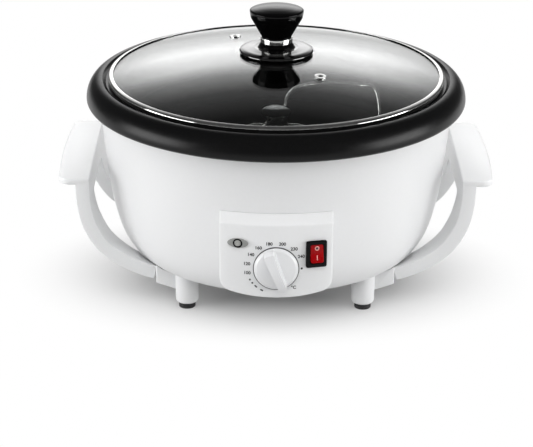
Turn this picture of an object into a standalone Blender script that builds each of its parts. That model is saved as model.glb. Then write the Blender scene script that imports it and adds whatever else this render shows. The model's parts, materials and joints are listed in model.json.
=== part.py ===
"""Home coffee bean roaster: a coated pan with a driven stirrer in a white bowl, under a glass lid.

Units are metres, +Z is up and the controls face -Y. The origin is on the table,
in the middle of the space that the whole roaster takes up.
"""

from math import asin, atan2, cos, hypot, pi, radians, sin, sqrt

import bmesh
import bpy
from mathutils import Matrix, Vector

# Gap between touching pieces, running gap of turning pieces, overrun of cuts and of cuts through
# curved walls, sink of joined forms
GAP = 0.0003
RUNNING_GAP = 0.0004
OVERRUN = 0.002
DEEP_OVERRUN = 0.004
SINK = 0.001
MERGE = 0.00005

# Facets of turned pieces
LARGE_STEPS = 36
PANEL_STEPS = 72
MEDIUM_STEPS = 20
SMALL_STEPS = 12
TINY_STEPS = 8

# Roasting pan: floor, stepped well, lid seat and the wide flange that rolls over the bowl's rim
PAN_WALL = 0.0020
PAN_FLOOR_RADIUS = 0.1180
PAN_CORNER_RADIUS = 0.0080
PAN_WELL_DRAFT = 0.0035
PAN_WELL_DEPTH = 0.0240
PAN_STEP_WIDTH = 0.0015
PAN_STEP_RISE = 0.0010
PAN_WALL_SPREAD = 0.0175
PAN_WALL_RISE = 0.0330
LID_SEAT_WIDTH = 0.0045
LIP_WIDTH = 0.0030
LIP_RISE = 0.0028
FLANGE_WIDTH = 0.0135
FLANGE_DROP = 0.0162
FLANGE_ROLL_RADIUS = 0.0035
FLANGE_ROLL_END = radians(-110)
PAN_BOSS_RADIUS = 0.0085
PAN_BOSS_FOOT_RADIUS = 0.0125
PAN_BOSS_HEIGHT = 0.0080
PAN_BORE_RADIUS = 0.0058

# White bowl round the pan
SHELL_WALL = 0.0025
SHELL_RIM_REACH = 0.0031
SHELL_RIM_FLARE = 0.0007
SHELL_RIM_DROP = 0.0040
SHELL_BOTTOM_Z = 0.0286
SHELL_LIP_REACH = 0.0170
SHELL_RADIUS_SHARES = (0.685, 0.776, 0.842, 0.9006, 0.9443, 0.9730, 1.0)
SHELL_HEIGHT_SHARES = (0.0, 0.022, 0.0803, 0.200, 0.400, 0.650, 1.0)

# Bottom tray with its legs and the blocks that the handles plug into
TRAY_INSET = 0.0010
TRAY_THICKNESS = 0.0030
LEG_OVERHANG = 0.00366
LEG_RADIUS = 0.0097
LEG_SINK = 0.0114
FOOT_HEIGHT = 0.0050
FOOT_INSET = 0.0003
FOOT_STUD_RADIUS = 0.0035
FOOT_STUD_HEIGHT = 0.0060
FOOT_CHAMFER = 0.0006
BLOCK_DEPTH = 0.0136
BLOCK_END_DEPTH = 0.0079
BLOCK_INSET = 0.0080
BLOCK_FLAT = 0.0096
BLOCK_REACH = 0.0260
BLOCK_FRONT_MARGIN = 0.0015
BLOCK_BACK_MARGIN = 0.0020
TRAY_SCREW_INSET = 0.0100
TRAY_SCREW_ANGLE = radians(12)
TRAY_SCREW_RADIUS = 0.0020
TRAY_SCREW_HEAD_RADIUS = 0.0038
TRAY_SCREW_HEAD_HEIGHT = 0.0022
TRAY_SCREW_LENGTH = 0.0140
SCREW_TIP_SHARE = 0.5
SCREW_EDGE_SHARE = 0.5
SHELL_BOSS_RADIUS = 0.0048
SHELL_BOSS_HEIGHT = 0.0120
VENT_COUNT = 12
VENT_WIDTH = 0.0040
VENT_LENGTH = 0.0180
VENT_INSET = 0.0080
VENT_PHASE_SHARE = 0.5

# Side handles: a flat grip on two curved arms that run in under the bowl
HANDLE_HALF_WIDTH = 0.0720
HANDLE_RISE = 0.0851
GRIP_THICKNESS = 0.0058
GRIP_REACH = 0.0195
GRIP_BOW = 0.0025
GRIP_CORNER_RADIUS = 0.0095
GRIP_EDGE_ROUND = 0.0012
GRIP_BOW_SHARES = (0.66, 0.33, 0.0)
ARM_THICKNESS = 0.0114
ARM_TOP_INSET = 0.0004
ARM_FOOT_RISE = 0.0008
ARM_REACH_SHARES = (1.0, 1.0, 0.980, 0.903, 0.720, 0.430, 0.150, 0.0)
ARM_RISE_SHARES = (1.0, 0.880, 0.690, 0.485, 0.275, 0.118, 0.028, 0.0)
ARM_FOOT_DEPTH = 0.0200
ARM_TOP_DEPTH = 0.0330
OPENING_TOP_DROP = 0.0227
OPENING_NECK_DROP = 0.0150
OPENING_FOOT_RISE = 0.0066
OPENING_CORNER = 0.0050
GRIP_WALL = 0.0045
TONGUE_LENGTH = 0.0130
TONGUE_WIDTH = 0.0110
TONGUE_HEIGHT = 0.0032
TONGUE_DROP = 0.0028
HANDLE_SCREW_RADIUS = 0.0016
HANDLE_SCREW_HEAD_RADIUS = 0.0032
HANDLE_SCREW_HEAD_HEIGHT = 0.0020
HANDLE_SCREW_LENGTH = 0.0050
HANDLE_SCREW_SEAT_RISE = 0.0010

# Control panel on the front of the bowl
PANEL_STAND_OFF = 0.0061
PANEL_SWITCH_MARGIN = 0.0131
PANEL_HEIGHT = 0.0683
PANEL_BEVEL_HEIGHT = 0.0061
PANEL_TOP_INSET = 0.0027
PANEL_LIFT = 0.0168
PANEL_WIDTH_SHARES = (0.0, 0.26, 0.52, 0.78, 0.902, 0.975, 1.0)
PANEL_RISE_SHARES = (0.0, 0.026, 0.107, 0.26, 0.40, 0.66, 1.0)
PANEL_SIDE_RISE = 0.0138
PANEL_WALL = 0.0030
PANEL_TOP_LEDGE = 0.0005
PANEL_HOLLOW_OVERLAP = 0.0050
WINDOW_MARGIN = 0.0010

# Temperature control
DIAL_RISE = 0.0266
THERMOSTAT_RADIUS = 0.0160
THERMOSTAT_DEPTH = 0.0170
THERMOSTAT_NECK_RADIUS = 0.0045
THERMOSTAT_SHAFT_RADIUS = 0.0030
THERMOSTAT_SHAFT_REACH = 0.0120
NUT_RADIUS = 0.0066
NUT_SIDES = 6
NUT_THICKNESS = 0.0024
KNOB_RADIUS = 0.0180
KNOB_SKIRT = 0.0022
KNOB_DOME_HEIGHT = 0.0062
KNOB_DOME_RADIUS_SHARES = (0.0, 0.50, 0.833, 0.917, 1.0)
KNOB_DOME_RISE_SHARES = (1.0, 0.86, 0.56, 0.25, 0.0)
KNOB_GRIP_WIDTH = 0.0088
KNOB_GRIP_TOP_WIDTH = 0.0066
KNOB_GRIP_HEIGHT = 0.0165
KNOB_GRIP_INSET = 0.0010
KNOB_GRIP_CREST_SHARE = 0.9
KNOB_POCKET_CLEARANCE = 0.0024
KNOB_POCKET_DEPTH = 0.0034
KNOB_OFF_ANGLE = radians(158)

# Power switch
SWITCH_GAP = 0.00575
SWITCH_RISE = 0.0376
BEZEL_WIDTH = 0.0161
BEZEL_HEIGHT = 0.0220
BEZEL_PROUD = 0.0022
SWITCH_BODY_WIDTH = 0.0136
SWITCH_BODY_HEIGHT = 0.0194
SWITCH_BODY_DEPTH = 0.0160
ROCKER_WIDTH = 0.0105
ROCKER_HALF_HEIGHT = 0.0082
ROCKER_TILT = radians(9)
ROCKER_PIVOT_DEPTH = 0.0015
ROCKER_CREST = 0.0036
ROCKER_END_RISE = 0.0046
ROCKER_ROOT = 0.0020
ROCKER_SHOULDER_SHARE = 0.96
ROCKER_ROOT_SHARE = 0.35
ROCKER_PIN_RADIUS = 0.0010
ROCKER_PIN_REACH = 0.0010
ROCKER_POCKET_DEPTH = 0.0090
ROCKER_END_CLEARANCE = 0.0008
SWITCH_TAB_WIDTH = 0.0048
SWITCH_TAB_THICKNESS = 0.0008
SWITCH_TAB_LENGTH = 0.0080
SWITCH_TAB_SPACING = 0.0070

# Signal lamp
LAMP_INSET = 0.0148
LAMP_RISE = 0.0466
LAMP_PLATE_WIDTH = 0.0169
LAMP_PLATE_HEIGHT = 0.0083
LAMP_PLATE_PROUD = 0.0014
LAMP_RADIUS = 0.00365
LAMP_LENS_PROUD = 0.0026
LENS_RADIUS_SHARES = (0.0, 0.50, 0.87, 1.0)
LENS_RISE_SHARES = (1.0, 0.75, 0.50, 0.0)
LENS_DEPTH = 0.0040
LAMP_STEM_RADIUS = 0.0052
LAMP_STEM_DEPTH = 0.0120
NEON_RADIUS = 0.0024
NEON_LENGTH = 0.0090

# Glass lid in its steel band, with vents and a knob on a polished saucer
LID_DOME_RADIUS = 0.5270
LID_GLASS_THICKNESS = 0.0030
GLASS_RADIUS_SHARES = (0.0, 0.2, 0.45, 0.72, 1.0)
LID_BAND_CLEARANCE = 0.0021
LID_BAND_WALL = 0.0008
LID_BAND_LIP = 0.0039
VENT_HOLE_X = 0.0354
VENT_HOLE_Y = 0.0563
EYELET_FLANGE_RADIUS = 0.0050
EYELET_TUBE_RADIUS = 0.0031
EYELET_BORE_RADIUS = 0.0021
EYELET_FLANGE_THICKNESS = 0.0008
SAUCER_RADIUS = 0.0312
SAUCER_RIM_HEIGHT = 0.0032
SAUCER_HEIGHT = 0.0052
SAUCER_RECESS = 0.0012
SAUCER_SHOULDER_RADIUS = 0.0160
SAUCER_EDGE_ROUND = 0.0012
COLLAR_RADIUS = 0.0135
COLLAR_HEIGHT = 0.0040
COLLAR_EDGE_ROUND = 0.0010
LID_KNOB_HEIGHT = 0.0272
LID_KNOB_RADIUS = 0.0226
LID_KNOB_RADIUS_SHARES = (0.0, 0.55, 0.88, 0.975, 1.0, 0.960, 0.900, 0.780, 0.650, 0.575)
LID_KNOB_HEIGHT_SHARES = (1.0, 0.985, 0.960, 0.930, 0.880, 0.640, 0.500, 0.320, 0.150, 0.0)
LID_SCREW_RADIUS = 0.0024
LID_SCREW_HEAD_RADIUS = 0.0050
LID_SCREW_HEAD_HEIGHT = 0.0030
LID_SCREW_GRIP = 0.0110
WASHER_RADIUS = 0.0080
WASHER_THICKNESS = 0.0015

# Stirrer: two wire loops on a hub, turned by a spindle through the pan
SPINDLE_RADIUS = 0.0040
BUSHING_WALL = 0.0010
BUSHING_FLANGE_RADIUS = 0.0080
BUSHING_FLANGE_THICKNESS = 0.0014
BUSHING_TAIL = 0.0100
HUB_RADIUS = 0.0110
HUB_HEIGHT = 0.0150
CAP_NUT_RADIUS = 0.0130
CAP_NUT_HEIGHT = 0.0052
CAP_NUT_BORE_DEPTH = 0.0030
CAP_NUT_RADIUS_SHARES = (0.0, 0.60, 0.90, 1.0, 1.0)
CAP_NUT_HEIGHT_SHARES = (1.0, 0.92, 0.65, 0.40, 0.0)
WIRE_RADIUS = 0.0022
WIRE_FLOOR_GAP = 0.0012
WIRE_WALL_CLEARANCE = 0.0160
WIRE_UPPER_RISE = 0.0250
WIRE_LOWER_RADIUS_SHARES = (0.10, 0.19, 0.36, 0.62, 0.84, 0.955)
WIRE_LOWER_TURN_SHARES = (0.0, 0.0, 0.04, 0.10, 0.20, 0.32)
WIRE_UPPER_RADIUS_SHARES = (1.0, 0.97, 0.80, 0.60, 0.40, 0.24, 0.15, 0.10)
WIRE_UPPER_TURN_SHARES = (0.47, 0.66, 0.94, 1.12, 1.18, 1.10, 1.02, 1.0)
WIRE_SWEEP = radians(64)
WIRE_SETTLE_START_SHARE = 0.2
WIRE_SETTLE_SPAN_SHARE = 0.3

# Drive and heating inside the bowl
MOTOR_RADIUS = 0.0250
MOTOR_CLEARANCE = 0.0197
DRIVE_SPACE = 0.0470
MOTOR_HEIGHT = 0.0260
MOTOR_BOSS_RADIUS = 0.0100
MOTOR_BOSS_HEIGHT = 0.0030
MOTOR_SHAFT_RADIUS = 0.0035
MOTOR_SHAFT_LENGTH = 0.0100
MOTOR_EAR_REACH = 0.0040
MOTOR_EAR_RADIUS = 0.0050
MOTOR_EAR_THICKNESS = 0.0020
COUPLING_RADIUS = 0.0070
COUPLING_HEIGHT = 0.0180
BRACKET_THICKNESS = 0.0015
BRACKET_CLEARANCE = 0.0110
BRACKET_WIDTH = 0.0300
BRACKET_FOOT = 0.0140
SMALL_SCREW_RADIUS = 0.0015
SMALL_SCREW_HEAD_RADIUS = 0.0028
SMALL_SCREW_HEAD_HEIGHT = 0.0016
SMALL_SCREW_LENGTH = 0.0040
SHIELD_INSET = 0.0060
SHIELD_RIM_HEIGHT = 0.0120
SHIELD_SHEET = 0.0010
SHIELD_BORE_CLEARANCE = 0.0030
HEATER_INSET = 0.0460
HEATER_TUBE_RADIUS = 0.0040
HEATER_GAP_ANGLE = radians(14)
HEATER_TAIL = 0.0120
HEATER_SAMPLES = 22
CLIP_WIDTH = 0.0080
CLIP_SHEET = 0.0010
CLIP_FOOT = 0.0060
CLIP_CLEARANCE = 0.0007
CLIP_COUNT = 3
CLIP_PHASE_SHARE = 0.25
FUSE_RADIUS = 0.0022
FUSE_LENGTH = 0.0120
FUSE_X = 0.0300
TERMINAL_WIDTH = 0.0300
TERMINAL_DEPTH = 0.0120
TERMINAL_HEIGHT = 0.0100
TERMINAL_Y = 0.0600
TERMINAL_POLES = 3
TERMINAL_WELL_RADIUS = 0.0025

# Bushing in the bowl's back wall for the mains lead
GLAND_RISE = 0.0414
GLAND_RADIUS = 0.0072
GLAND_FLANGE_RADIUS = 0.0105
GLAND_FLANGE_THICKNESS = 0.0030
GLAND_EDGE_ROUND = 0.0012
GLAND_STAND_OFF = 0.0006
GLAND_BORE_RADIUS = 0.0045
GLAND_INNER_LENGTH = 0.0040

# Finishes: colour, roughness, metallic, alpha
FINISHES = {
    "white_plastic": ((0.86, 0.87, 0.88), 0.28, 0.0, 1.0),
    "white_knob": ((0.84, 0.85, 0.86), 0.22, 0.0, 1.0),
    "black_coating": ((0.012, 0.012, 0.013), 0.32, 0.0, 1.0),
    "black_rubber": ((0.015, 0.015, 0.016), 0.75, 0.0, 1.0),
    "black_plastic": ((0.02, 0.02, 0.021), 0.4, 0.0, 1.0),
    "black_phenolic": ((0.01, 0.01, 0.011), 0.18, 0.0, 1.0),
    "red_plastic": ((0.55, 0.015, 0.012), 0.25, 0.0, 1.0),
    "grey_plastic": ((0.33, 0.34, 0.34), 0.35, 0.0, 1.0),
    "polished_steel": ((0.78, 0.78, 0.77), 0.16, 1.0, 1.0),
    "stirrer_steel": ((0.7, 0.7, 0.68), 0.25, 1.0, 1.0),
    "zinc_plated_steel": ((0.62, 0.62, 0.6), 0.35, 1.0, 1.0),
    "heater_steel": ((0.3, 0.27, 0.25), 0.5, 1.0, 1.0),
    "bright_aluminium": ((0.8, 0.8, 0.81), 0.3, 1.0, 1.0),
    "brass": ((0.75, 0.6, 0.28), 0.3, 1.0, 1.0),
    "lid_glass": ((0.86, 0.9, 0.9), 0.04, 0.0, 0.3),
    "clear_lens": ((0.75, 0.75, 0.72), 0.1, 0.0, 0.6),
    "bulb_glass": ((0.9, 0.55, 0.35), 0.1, 0.0, 0.5),
    "terminal_white": ((0.82, 0.81, 0.76), 0.5, 0.0, 1.0),
    "fuse_white": ((0.8, 0.78, 0.72), 0.5, 0.0, 1.0),
}

# The roaster's corners, as directions along X and Y
CORNERS = {"front_left": (-1, -1), "front_right": (1, -1), "rear_left": (-1, 1), "rear_right": (1, 1)}
SIDES = {"left": -1, "right": 1}

# Radii that follow from the pan's floor, out to the flange and the bowl round it
PAN_STEP_RADIUS = PAN_FLOOR_RADIUS + PAN_WELL_DRAFT
PAN_MOUTH_RADIUS = PAN_STEP_RADIUS + PAN_WALL_SPREAD
LID_SEAT_RADIUS = PAN_MOUTH_RADIUS + LID_SEAT_WIDTH
LIP_RADIUS = LID_SEAT_RADIUS + LIP_WIDTH
FLANGE_RADIUS = LIP_RADIUS + FLANGE_WIDTH
LID_BAND_RADIUS = LID_SEAT_RADIUS - LID_BAND_CLEARANCE
GLASS_RADIUS = LID_BAND_RADIUS - LID_BAND_WALL - GAP
SHELL_RIM_RADIUS = LIP_RADIUS + SHELL_RIM_REACH
SHELL_TOP_RADIUS = SHELL_RIM_RADIUS - SHELL_RIM_FLARE
TRAY_RADIUS = SHELL_TOP_RADIUS * SHELL_RADIUS_SHARES[0] - TRAY_INSET
SHELL_LIP_RADIUS = TRAY_RADIUS - SHELL_LIP_REACH
TRAY_SCREW_RADIUS_FROM_AXIS = TRAY_RADIUS - TRAY_SCREW_INSET
VENT_RADIUS_FROM_AXIS = SHELL_LIP_RADIUS - VENT_INSET - VENT_LENGTH
PANEL_RADIUS = SHELL_TOP_RADIUS + PANEL_STAND_OFF
PANEL_TOP_RADIUS = SHELL_TOP_RADIUS - PANEL_TOP_INSET
SHIELD_RADIUS = PAN_FLOOR_RADIUS - SHIELD_INSET
HEATER_RADIUS = PAN_FLOOR_RADIUS - HEATER_INSET
WIRE_REACH = PAN_FLOOR_RADIUS - WIRE_WALL_CLEARANCE

# Places that follow in plan: legs, handle blocks, handles, controls, motor
LEG_SPREAD = (TRAY_RADIUS + LEG_OVERHANG) / sqrt(2)
LEG_SPOT = (LEG_SPREAD, LEG_SPREAD)
FOOT_RADIUS = LEG_RADIUS - FOOT_INSET
BLOCK_START_X = LEG_SPREAD - BLOCK_INSET
BLOCK_SLOPE_X = LEG_SPREAD + BLOCK_FLAT
BLOCK_END_X = LEG_SPREAD + BLOCK_REACH
BLOCK_FRONT_Y = HANDLE_HALF_WIDTH + BLOCK_FRONT_MARGIN
BLOCK_BACK_Y = HANDLE_HALF_WIDTH - ARM_FOOT_DEPTH - BLOCK_BACK_MARGIN
ARM_TOP_X = FLANGE_RADIUS - ARM_TOP_INSET
GRIP_END_X = FLANGE_RADIUS + GRIP_REACH
KNOB_GRIP_LENGTH = (KNOB_RADIUS - KNOB_GRIP_INSET) * 2
KNOB_POCKET_RADIUS = NUT_RADIUS + KNOB_POCKET_CLEARANCE
SWITCH_X = KNOB_RADIUS + SWITCH_GAP + BEZEL_WIDTH / 2
PANEL_HALF_WIDTH = SWITCH_X + PANEL_SWITCH_MARGIN
LAMP_X = LAMP_INSET - PANEL_HALF_WIDTH
MOTOR_EAR_X = MOTOR_RADIUS + MOTOR_EAR_REACH
BRACKET_HALF_SPAN = MOTOR_EAR_X + MOTOR_EAR_RADIUS + BRACKET_CLEARANCE
SHIELD_BORE_RADIUS = MOTOR_BOSS_RADIUS + SHIELD_BORE_CLEARANCE

# Heights that follow from the bowl's bottom, up through the drive to the lid's knob
TRAY_TOP_Z = SHELL_BOTTOM_Z - GAP
TRAY_BOTTOM_Z = TRAY_TOP_Z - TRAY_THICKNESS
LEG_TOP_Z = SHELL_BOTTOM_Z + LEG_SINK
BLOCK_BOTTOM_Z = SHELL_BOTTOM_Z - BLOCK_DEPTH
BLOCK_END_Z = SHELL_BOTTOM_Z - BLOCK_END_DEPTH
TONGUE_Z = SHELL_BOTTOM_Z - TONGUE_DROP
ARM_FOOT_Z = SHELL_BOTTOM_Z + ARM_FOOT_RISE
HANDLE_TOP_Z = SHELL_BOTTOM_Z + HANDLE_RISE
OPENING_TOP_Z = HANDLE_TOP_Z - OPENING_TOP_DROP
OPENING_NARROW_Z = OPENING_TOP_Z - OPENING_NECK_DROP
OPENING_FOOT_Z = ARM_FOOT_Z + OPENING_FOOT_RISE
PANEL_BOTTOM_Z = SHELL_BOTTOM_Z + PANEL_LIFT
PANEL_TOP_Z = PANEL_BOTTOM_Z + PANEL_HEIGHT
PANEL_FACE_TOP_Z = PANEL_TOP_Z - PANEL_BEVEL_HEIGHT
DIAL_Z = PANEL_BOTTOM_Z + DIAL_RISE
SWITCH_Z = PANEL_BOTTOM_Z + SWITCH_RISE
LAMP_Z = PANEL_BOTTOM_Z + LAMP_RISE
GLAND_Z = SHELL_BOTTOM_Z + GLAND_RISE
MOTOR_BOTTOM_Z = TRAY_TOP_Z + MOTOR_CLEARANCE
MOTOR_TOP_Z = MOTOR_BOTTOM_Z + MOTOR_HEIGHT
BRACKET_BOTTOM_Z = MOTOR_TOP_Z + GAP
BRACKET_TOP_Z = BRACKET_BOTTOM_Z + BRACKET_THICKNESS
SHIELD_BOTTOM_Z = BRACKET_TOP_Z + GAP
MOTOR_SHAFT_TOP_Z = MOTOR_TOP_Z + MOTOR_BOSS_HEIGHT + MOTOR_SHAFT_LENGTH
PAN_FLOOR_Z = MOTOR_TOP_Z + DRIVE_SPACE
PAN_UNDERSIDE_Z = PAN_FLOOR_Z - PAN_WALL
PAN_STEP_Z = PAN_FLOOR_Z + PAN_WELL_DEPTH
LID_SEAT_Z = PAN_STEP_Z + PAN_WALL_RISE
LIP_Z = LID_SEAT_Z + LIP_RISE
FLANGE_EDGE_Z = LIP_Z - FLANGE_DROP
SHELL_TOP_Z = FLANGE_EDGE_Z - SHELL_RIM_DROP
BUSHING_TOP_Z = PAN_FLOOR_Z + PAN_BOSS_HEIGHT + GAP + BUSHING_FLANGE_THICKNESS
HUB_BOTTOM_Z = BUSHING_TOP_Z + RUNNING_GAP
HUB_TOP_Z = HUB_BOTTOM_Z + HUB_HEIGHT
BAND_BOTTOM_Z = LID_SEAT_Z + GAP
DOME_EDGE_DROP = LID_DOME_RADIUS - sqrt(LID_DOME_RADIUS**2 - GLASS_RADIUS**2)
GLASS_TOP_Z = BAND_BOTTOM_Z + LID_BAND_WALL + GAP + LID_GLASS_THICKNESS + DOME_EDGE_DROP
SAUCER_BOTTOM_Z = GLASS_TOP_Z + GAP
SAUCER_TOP_Z = SAUCER_BOTTOM_Z + SAUCER_HEIGHT
COLLAR_BOTTOM_Z = SAUCER_TOP_Z + GAP
COLLAR_TOP_Z = COLLAR_BOTTOM_Z + COLLAR_HEIGHT
LID_KNOB_BOTTOM_Z = COLLAR_TOP_Z + GAP

# How far the object reaches in front, which puts its middle on the origin
KNOB_BACK_RADIUS = PANEL_RADIUS + GAP
FRONT_REACH = KNOB_BACK_RADIUS + KNOB_GRIP_HEIGHT
PAN_AXIS_Y = (FRONT_REACH - FLANGE_RADIUS) / 2


# Scene helpers


def clear_scene():
    for thing in list(bpy.data.objects):
        bpy.data.objects.remove(thing, do_unlink=True)


def new_collection(name):
    collection = bpy.data.collections.new(name)
    bpy.context.scene.collection.children.link(collection)
    return collection


def finish_of(name):
    """The Principled material of a finish, made once and shared by its pieces."""
    made = bpy.data.materials.get(name)
    if made:
        return made
    colour, roughness, metallic, alpha = FINISHES[name]
    made = bpy.data.materials.new(name)
    made.use_nodes = True
    shader = made.node_tree.nodes["Principled BSDF"]
    shader.inputs["Base Color"].default_value = (*colour, 1.0)
    shader.inputs["Roughness"].default_value = roughness
    shader.inputs["Metallic"].default_value = metallic
    shader.inputs["Alpha"].default_value = alpha
    made.diffuse_color = (*colour, alpha)
    return made


def place(thing, parent, collection):
    collection.objects.link(thing)
    thing.parent = parent
    return thing


def empty_at(name, parent, location, turn=(0.0, 0.0, 0.0)):
    guide = bpy.data.objects.new(name, None)
    guide.location = location
    guide.rotation_euler = turn
    return place(guide, parent, parts)


def as_part(thing, name, finish):
    """Gives a finished piece its name and the material of its finish."""
    thing.name = name
    thing.data.name = name
    thing.data.materials.clear()
    thing.data.materials.append(finish_of(finish))
    return thing


def as_cutter(thing):
    """Moves a helper shape to the cutters, where it doesn't render."""
    for home in list(thing.users_collection):
        home.objects.unlink(thing)
    cutters.objects.link(thing)
    thing.hide_render = True
    thing.display_type = "WIRE"
    return thing


# Shapes


def mesh_object(name, builder, parent):
    """An object whose mesh is filled by a function that gets an empty bmesh."""
    mesh = bpy.data.meshes.new(name)
    shape = bmesh.new()
    builder(shape)
    shape.to_mesh(mesh)
    shape.free()
    return place(bpy.data.objects.new(name, mesh), parent, parts)


def box(name, low, high, parent):
    size = [top - bottom for bottom, top in zip(low, high)]
    middle = [(top + bottom) / 2 for bottom, top in zip(low, high)]
    matrix = Matrix.Translation(middle) @ Matrix.Diagonal((*size, 1.0))
    return mesh_object(name, lambda shape: bmesh.ops.create_cube(shape, size=1.0, matrix=matrix), parent)


def cylinder(name, radius, bottom, top, parent, at=(0.0, 0.0), steps=SMALL_STEPS, top_radius=None):
    matrix = Matrix.Translation((*at, (bottom + top) / 2))

    def build(shape):
        bmesh.ops.create_cone(
            shape,
            cap_ends=True,
            segments=steps,
            radius1=radius,
            radius2=radius if top_radius is None else top_radius,
            depth=top - bottom,
            matrix=matrix,
        )

    return mesh_object(name, build, parent)


def turned(name, profile, parent, steps=SMALL_STEPS, closed=False):
    """A profile of (radius, z) points turned about Z, running down its outer side."""

    def build(shape):
        points = [shape.verts.new((radius, 0.0, z)) for radius, z in profile]
        for start, end in zip(points, points[1:]):
            shape.edges.new((start, end))
        if closed:
            shape.edges.new((points[-1], points[0]))

    piece = mesh_object(name, build, parent)
    screw = piece.modifiers.new("Turn", "SCREW")
    screw.steps = steps
    screw.render_steps = steps
    screw.use_merge_vertices = True
    screw.merge_threshold = MERGE
    screw.use_smooth_shade = True
    return piece


def turned_sheet(name, profile, thickness, parent, steps=LARGE_STEPS):
    """A turned surface with its sheet thickness behind it."""
    piece = turned(name, profile, parent, steps)
    solidify = piece.modifiers.new("Sheet", "SOLIDIFY")
    solidify.thickness = thickness
    solidify.offset = -1.0
    solidify.use_even_offset = True
    return piece


def mesh_from(thing):
    """The evaluated mesh of an object, in the place where the object stands."""
    bpy.context.view_layer.update()
    solved = thing.evaluated_get(bpy.context.evaluated_depsgraph_get())
    return bpy.data.meshes.new_from_object(solved)


def curve_to_mesh(thing):
    """Turns a curve object into a mesh object with its caps welded on."""
    mesh = mesh_from(thing)
    shape = bmesh.new()
    shape.from_mesh(mesh)
    bmesh.ops.remove_doubles(shape, verts=shape.verts, dist=MERGE)
    bmesh.ops.recalc_face_normals(shape, faces=shape.faces)
    shape.to_mesh(mesh)
    shape.free()
    made = bpy.data.objects.new(thing.name + "_mesh", mesh)
    place(made, thing.parent, parts)
    made.matrix_local = thing.matrix_local.copy()
    bpy.data.objects.remove(thing, do_unlink=True)
    return made


def flat_outline(name, points, thickness, parent, edge_round=0.0):
    """A closed outline in the XY plane, centred on it with a thickness along Z."""
    curve = bpy.data.curves.new(name, "CURVE")
    curve.dimensions = "2D"
    curve.fill_mode = "BOTH"
    curve.extrude = thickness / 2 - edge_round
    curve.bevel_depth = edge_round
    curve.bevel_resolution = 0
    curve.offset = -edge_round
    spline = curve.splines.new("POLY")
    spline.points.add(len(points) - 1)
    for point, (across, along) in zip(spline.points, points):
        point.co = (across, along, 0.0, 1.0)
    spline.use_cyclic_u = True
    return place(bpy.data.objects.new(name, curve), parent, parts)


def upright_outline(name, points, low, high, parent):
    """An outline in the XZ plane, run through along Y from low to high."""
    sheet = flat_outline(name, points, high - low, parent)
    sheet.rotation_euler = (pi / 2, 0.0, 0.0)
    sheet.location = (0.0, (low + high) / 2, 0.0)
    return curve_to_mesh(sheet)


def sideways_outline(name, points, low, high, parent):
    """An outline in the YZ plane, run through along X from low to high."""
    sheet = flat_outline(name, points, high - low, parent)
    sheet.rotation_euler = (pi / 2, 0.0, pi / 2)
    sheet.location = ((low + high) / 2, 0.0, 0.0)
    return curve_to_mesh(sheet)


def wire(name, points, radius, parent, fineness=1):
    """A round wire or tube along the points, with filled ends."""
    curve = bpy.data.curves.new(name, "CURVE")
    curve.dimensions = "3D"
    curve.bevel_depth = radius
    curve.bevel_resolution = fineness
    curve.use_fill_caps = True
    spline = curve.splines.new("POLY")
    spline.points.add(len(points) - 1)
    for point, spot in zip(spline.points, points):
        point.co = (*spot, 1.0)
    return place(bpy.data.objects.new(name, curve), parent, parts)


def boolean(target, other, operation):
    step = target.modifiers.new(operation.title(), "BOOLEAN")
    step.operation = operation
    step.object = as_cutter(other)
    return target


def cut(target, other):
    return boolean(target, other, "DIFFERENCE")


def fuse(target, other):
    return boolean(target, other, "UNION")


def keep_inside(target, other):
    return boolean(target, other, "INTERSECT")


def mirrored(thing, across_x=True, across_y=False):
    """Repeats a shape on the other side of the roaster's middle planes."""
    mirror = thing.modifiers.new("Mirror", "MIRROR")
    mirror.use_axis = (across_x, across_y, False)
    mirror.merge_threshold = MERGE
    mirror.use_mirror_merge = False
    return thing


def grouped(name, pieces, parent):
    """Joins pieces into one object, as separate solids in the parent's space."""
    shape = bmesh.new()
    for piece in pieces:
        mesh = mesh_from(piece)
        mesh.transform(parent.matrix_world.inverted() @ piece.matrix_world)
        shape.from_mesh(mesh)
        bpy.data.meshes.remove(mesh)
    for piece in pieces:
        bpy.data.objects.remove(piece, do_unlink=True)
    mesh = bpy.data.meshes.new(name)
    shape.to_mesh(mesh)
    shape.free()
    return place(bpy.data.objects.new(name, mesh), parent, parts)


# Outlines and curves


def arc(centre, radius, start, end, count):
    """Points on an arc, where radius may be one number or a (wide, high) pair."""
    wide, high = radius if isinstance(radius, tuple) else (radius, radius)
    steps = [start + (end - start) * index / count for index in range(count + 1)]
    return [(centre[0] + wide * cos(angle), centre[1] + high * sin(angle)) for angle in steps]


def smooth_through(points, per_span):
    """A Catmull-Rom curve through the points, with some points added in each span."""
    spots = [Vector(point) for point in points]
    ends = [spots[0] * 2 - spots[1]] + spots + [spots[-1] * 2 - spots[-2]]
    curve = []
    for index in range(1, len(ends) - 2):
        before, start, end, after = ends[index - 1 : index + 3]
        for part in range(per_span):
            t = part / per_span
            bend = 2 * before - 5 * start + 4 * end - after
            twist = 3 * start - before - 3 * end + after
            curve.append((2 * start + (end - before) * t + bend * t**2 + twist * t**3) / 2)
    curve.append(spots[-1])
    return curve


def offset_line(line, distance):
    """The line moved sideways by a distance, to the left of its own direction."""
    moved = []
    for index, spot in enumerate(line):
        ahead = line[min(index + 1, len(line) - 1)]
        behind = line[max(index - 1, 0)]
        along = (ahead - behind).normalized()
        moved.append((spot[0] - along[1] * distance, spot[1] + along[0] * distance))
    return moved


def dome_z(radius):
    """Height of the lid glass's upper face."""
    return GLASS_TOP_Z - LID_DOME_RADIUS + sqrt(LID_DOME_RADIUS**2 - radius**2)


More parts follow.
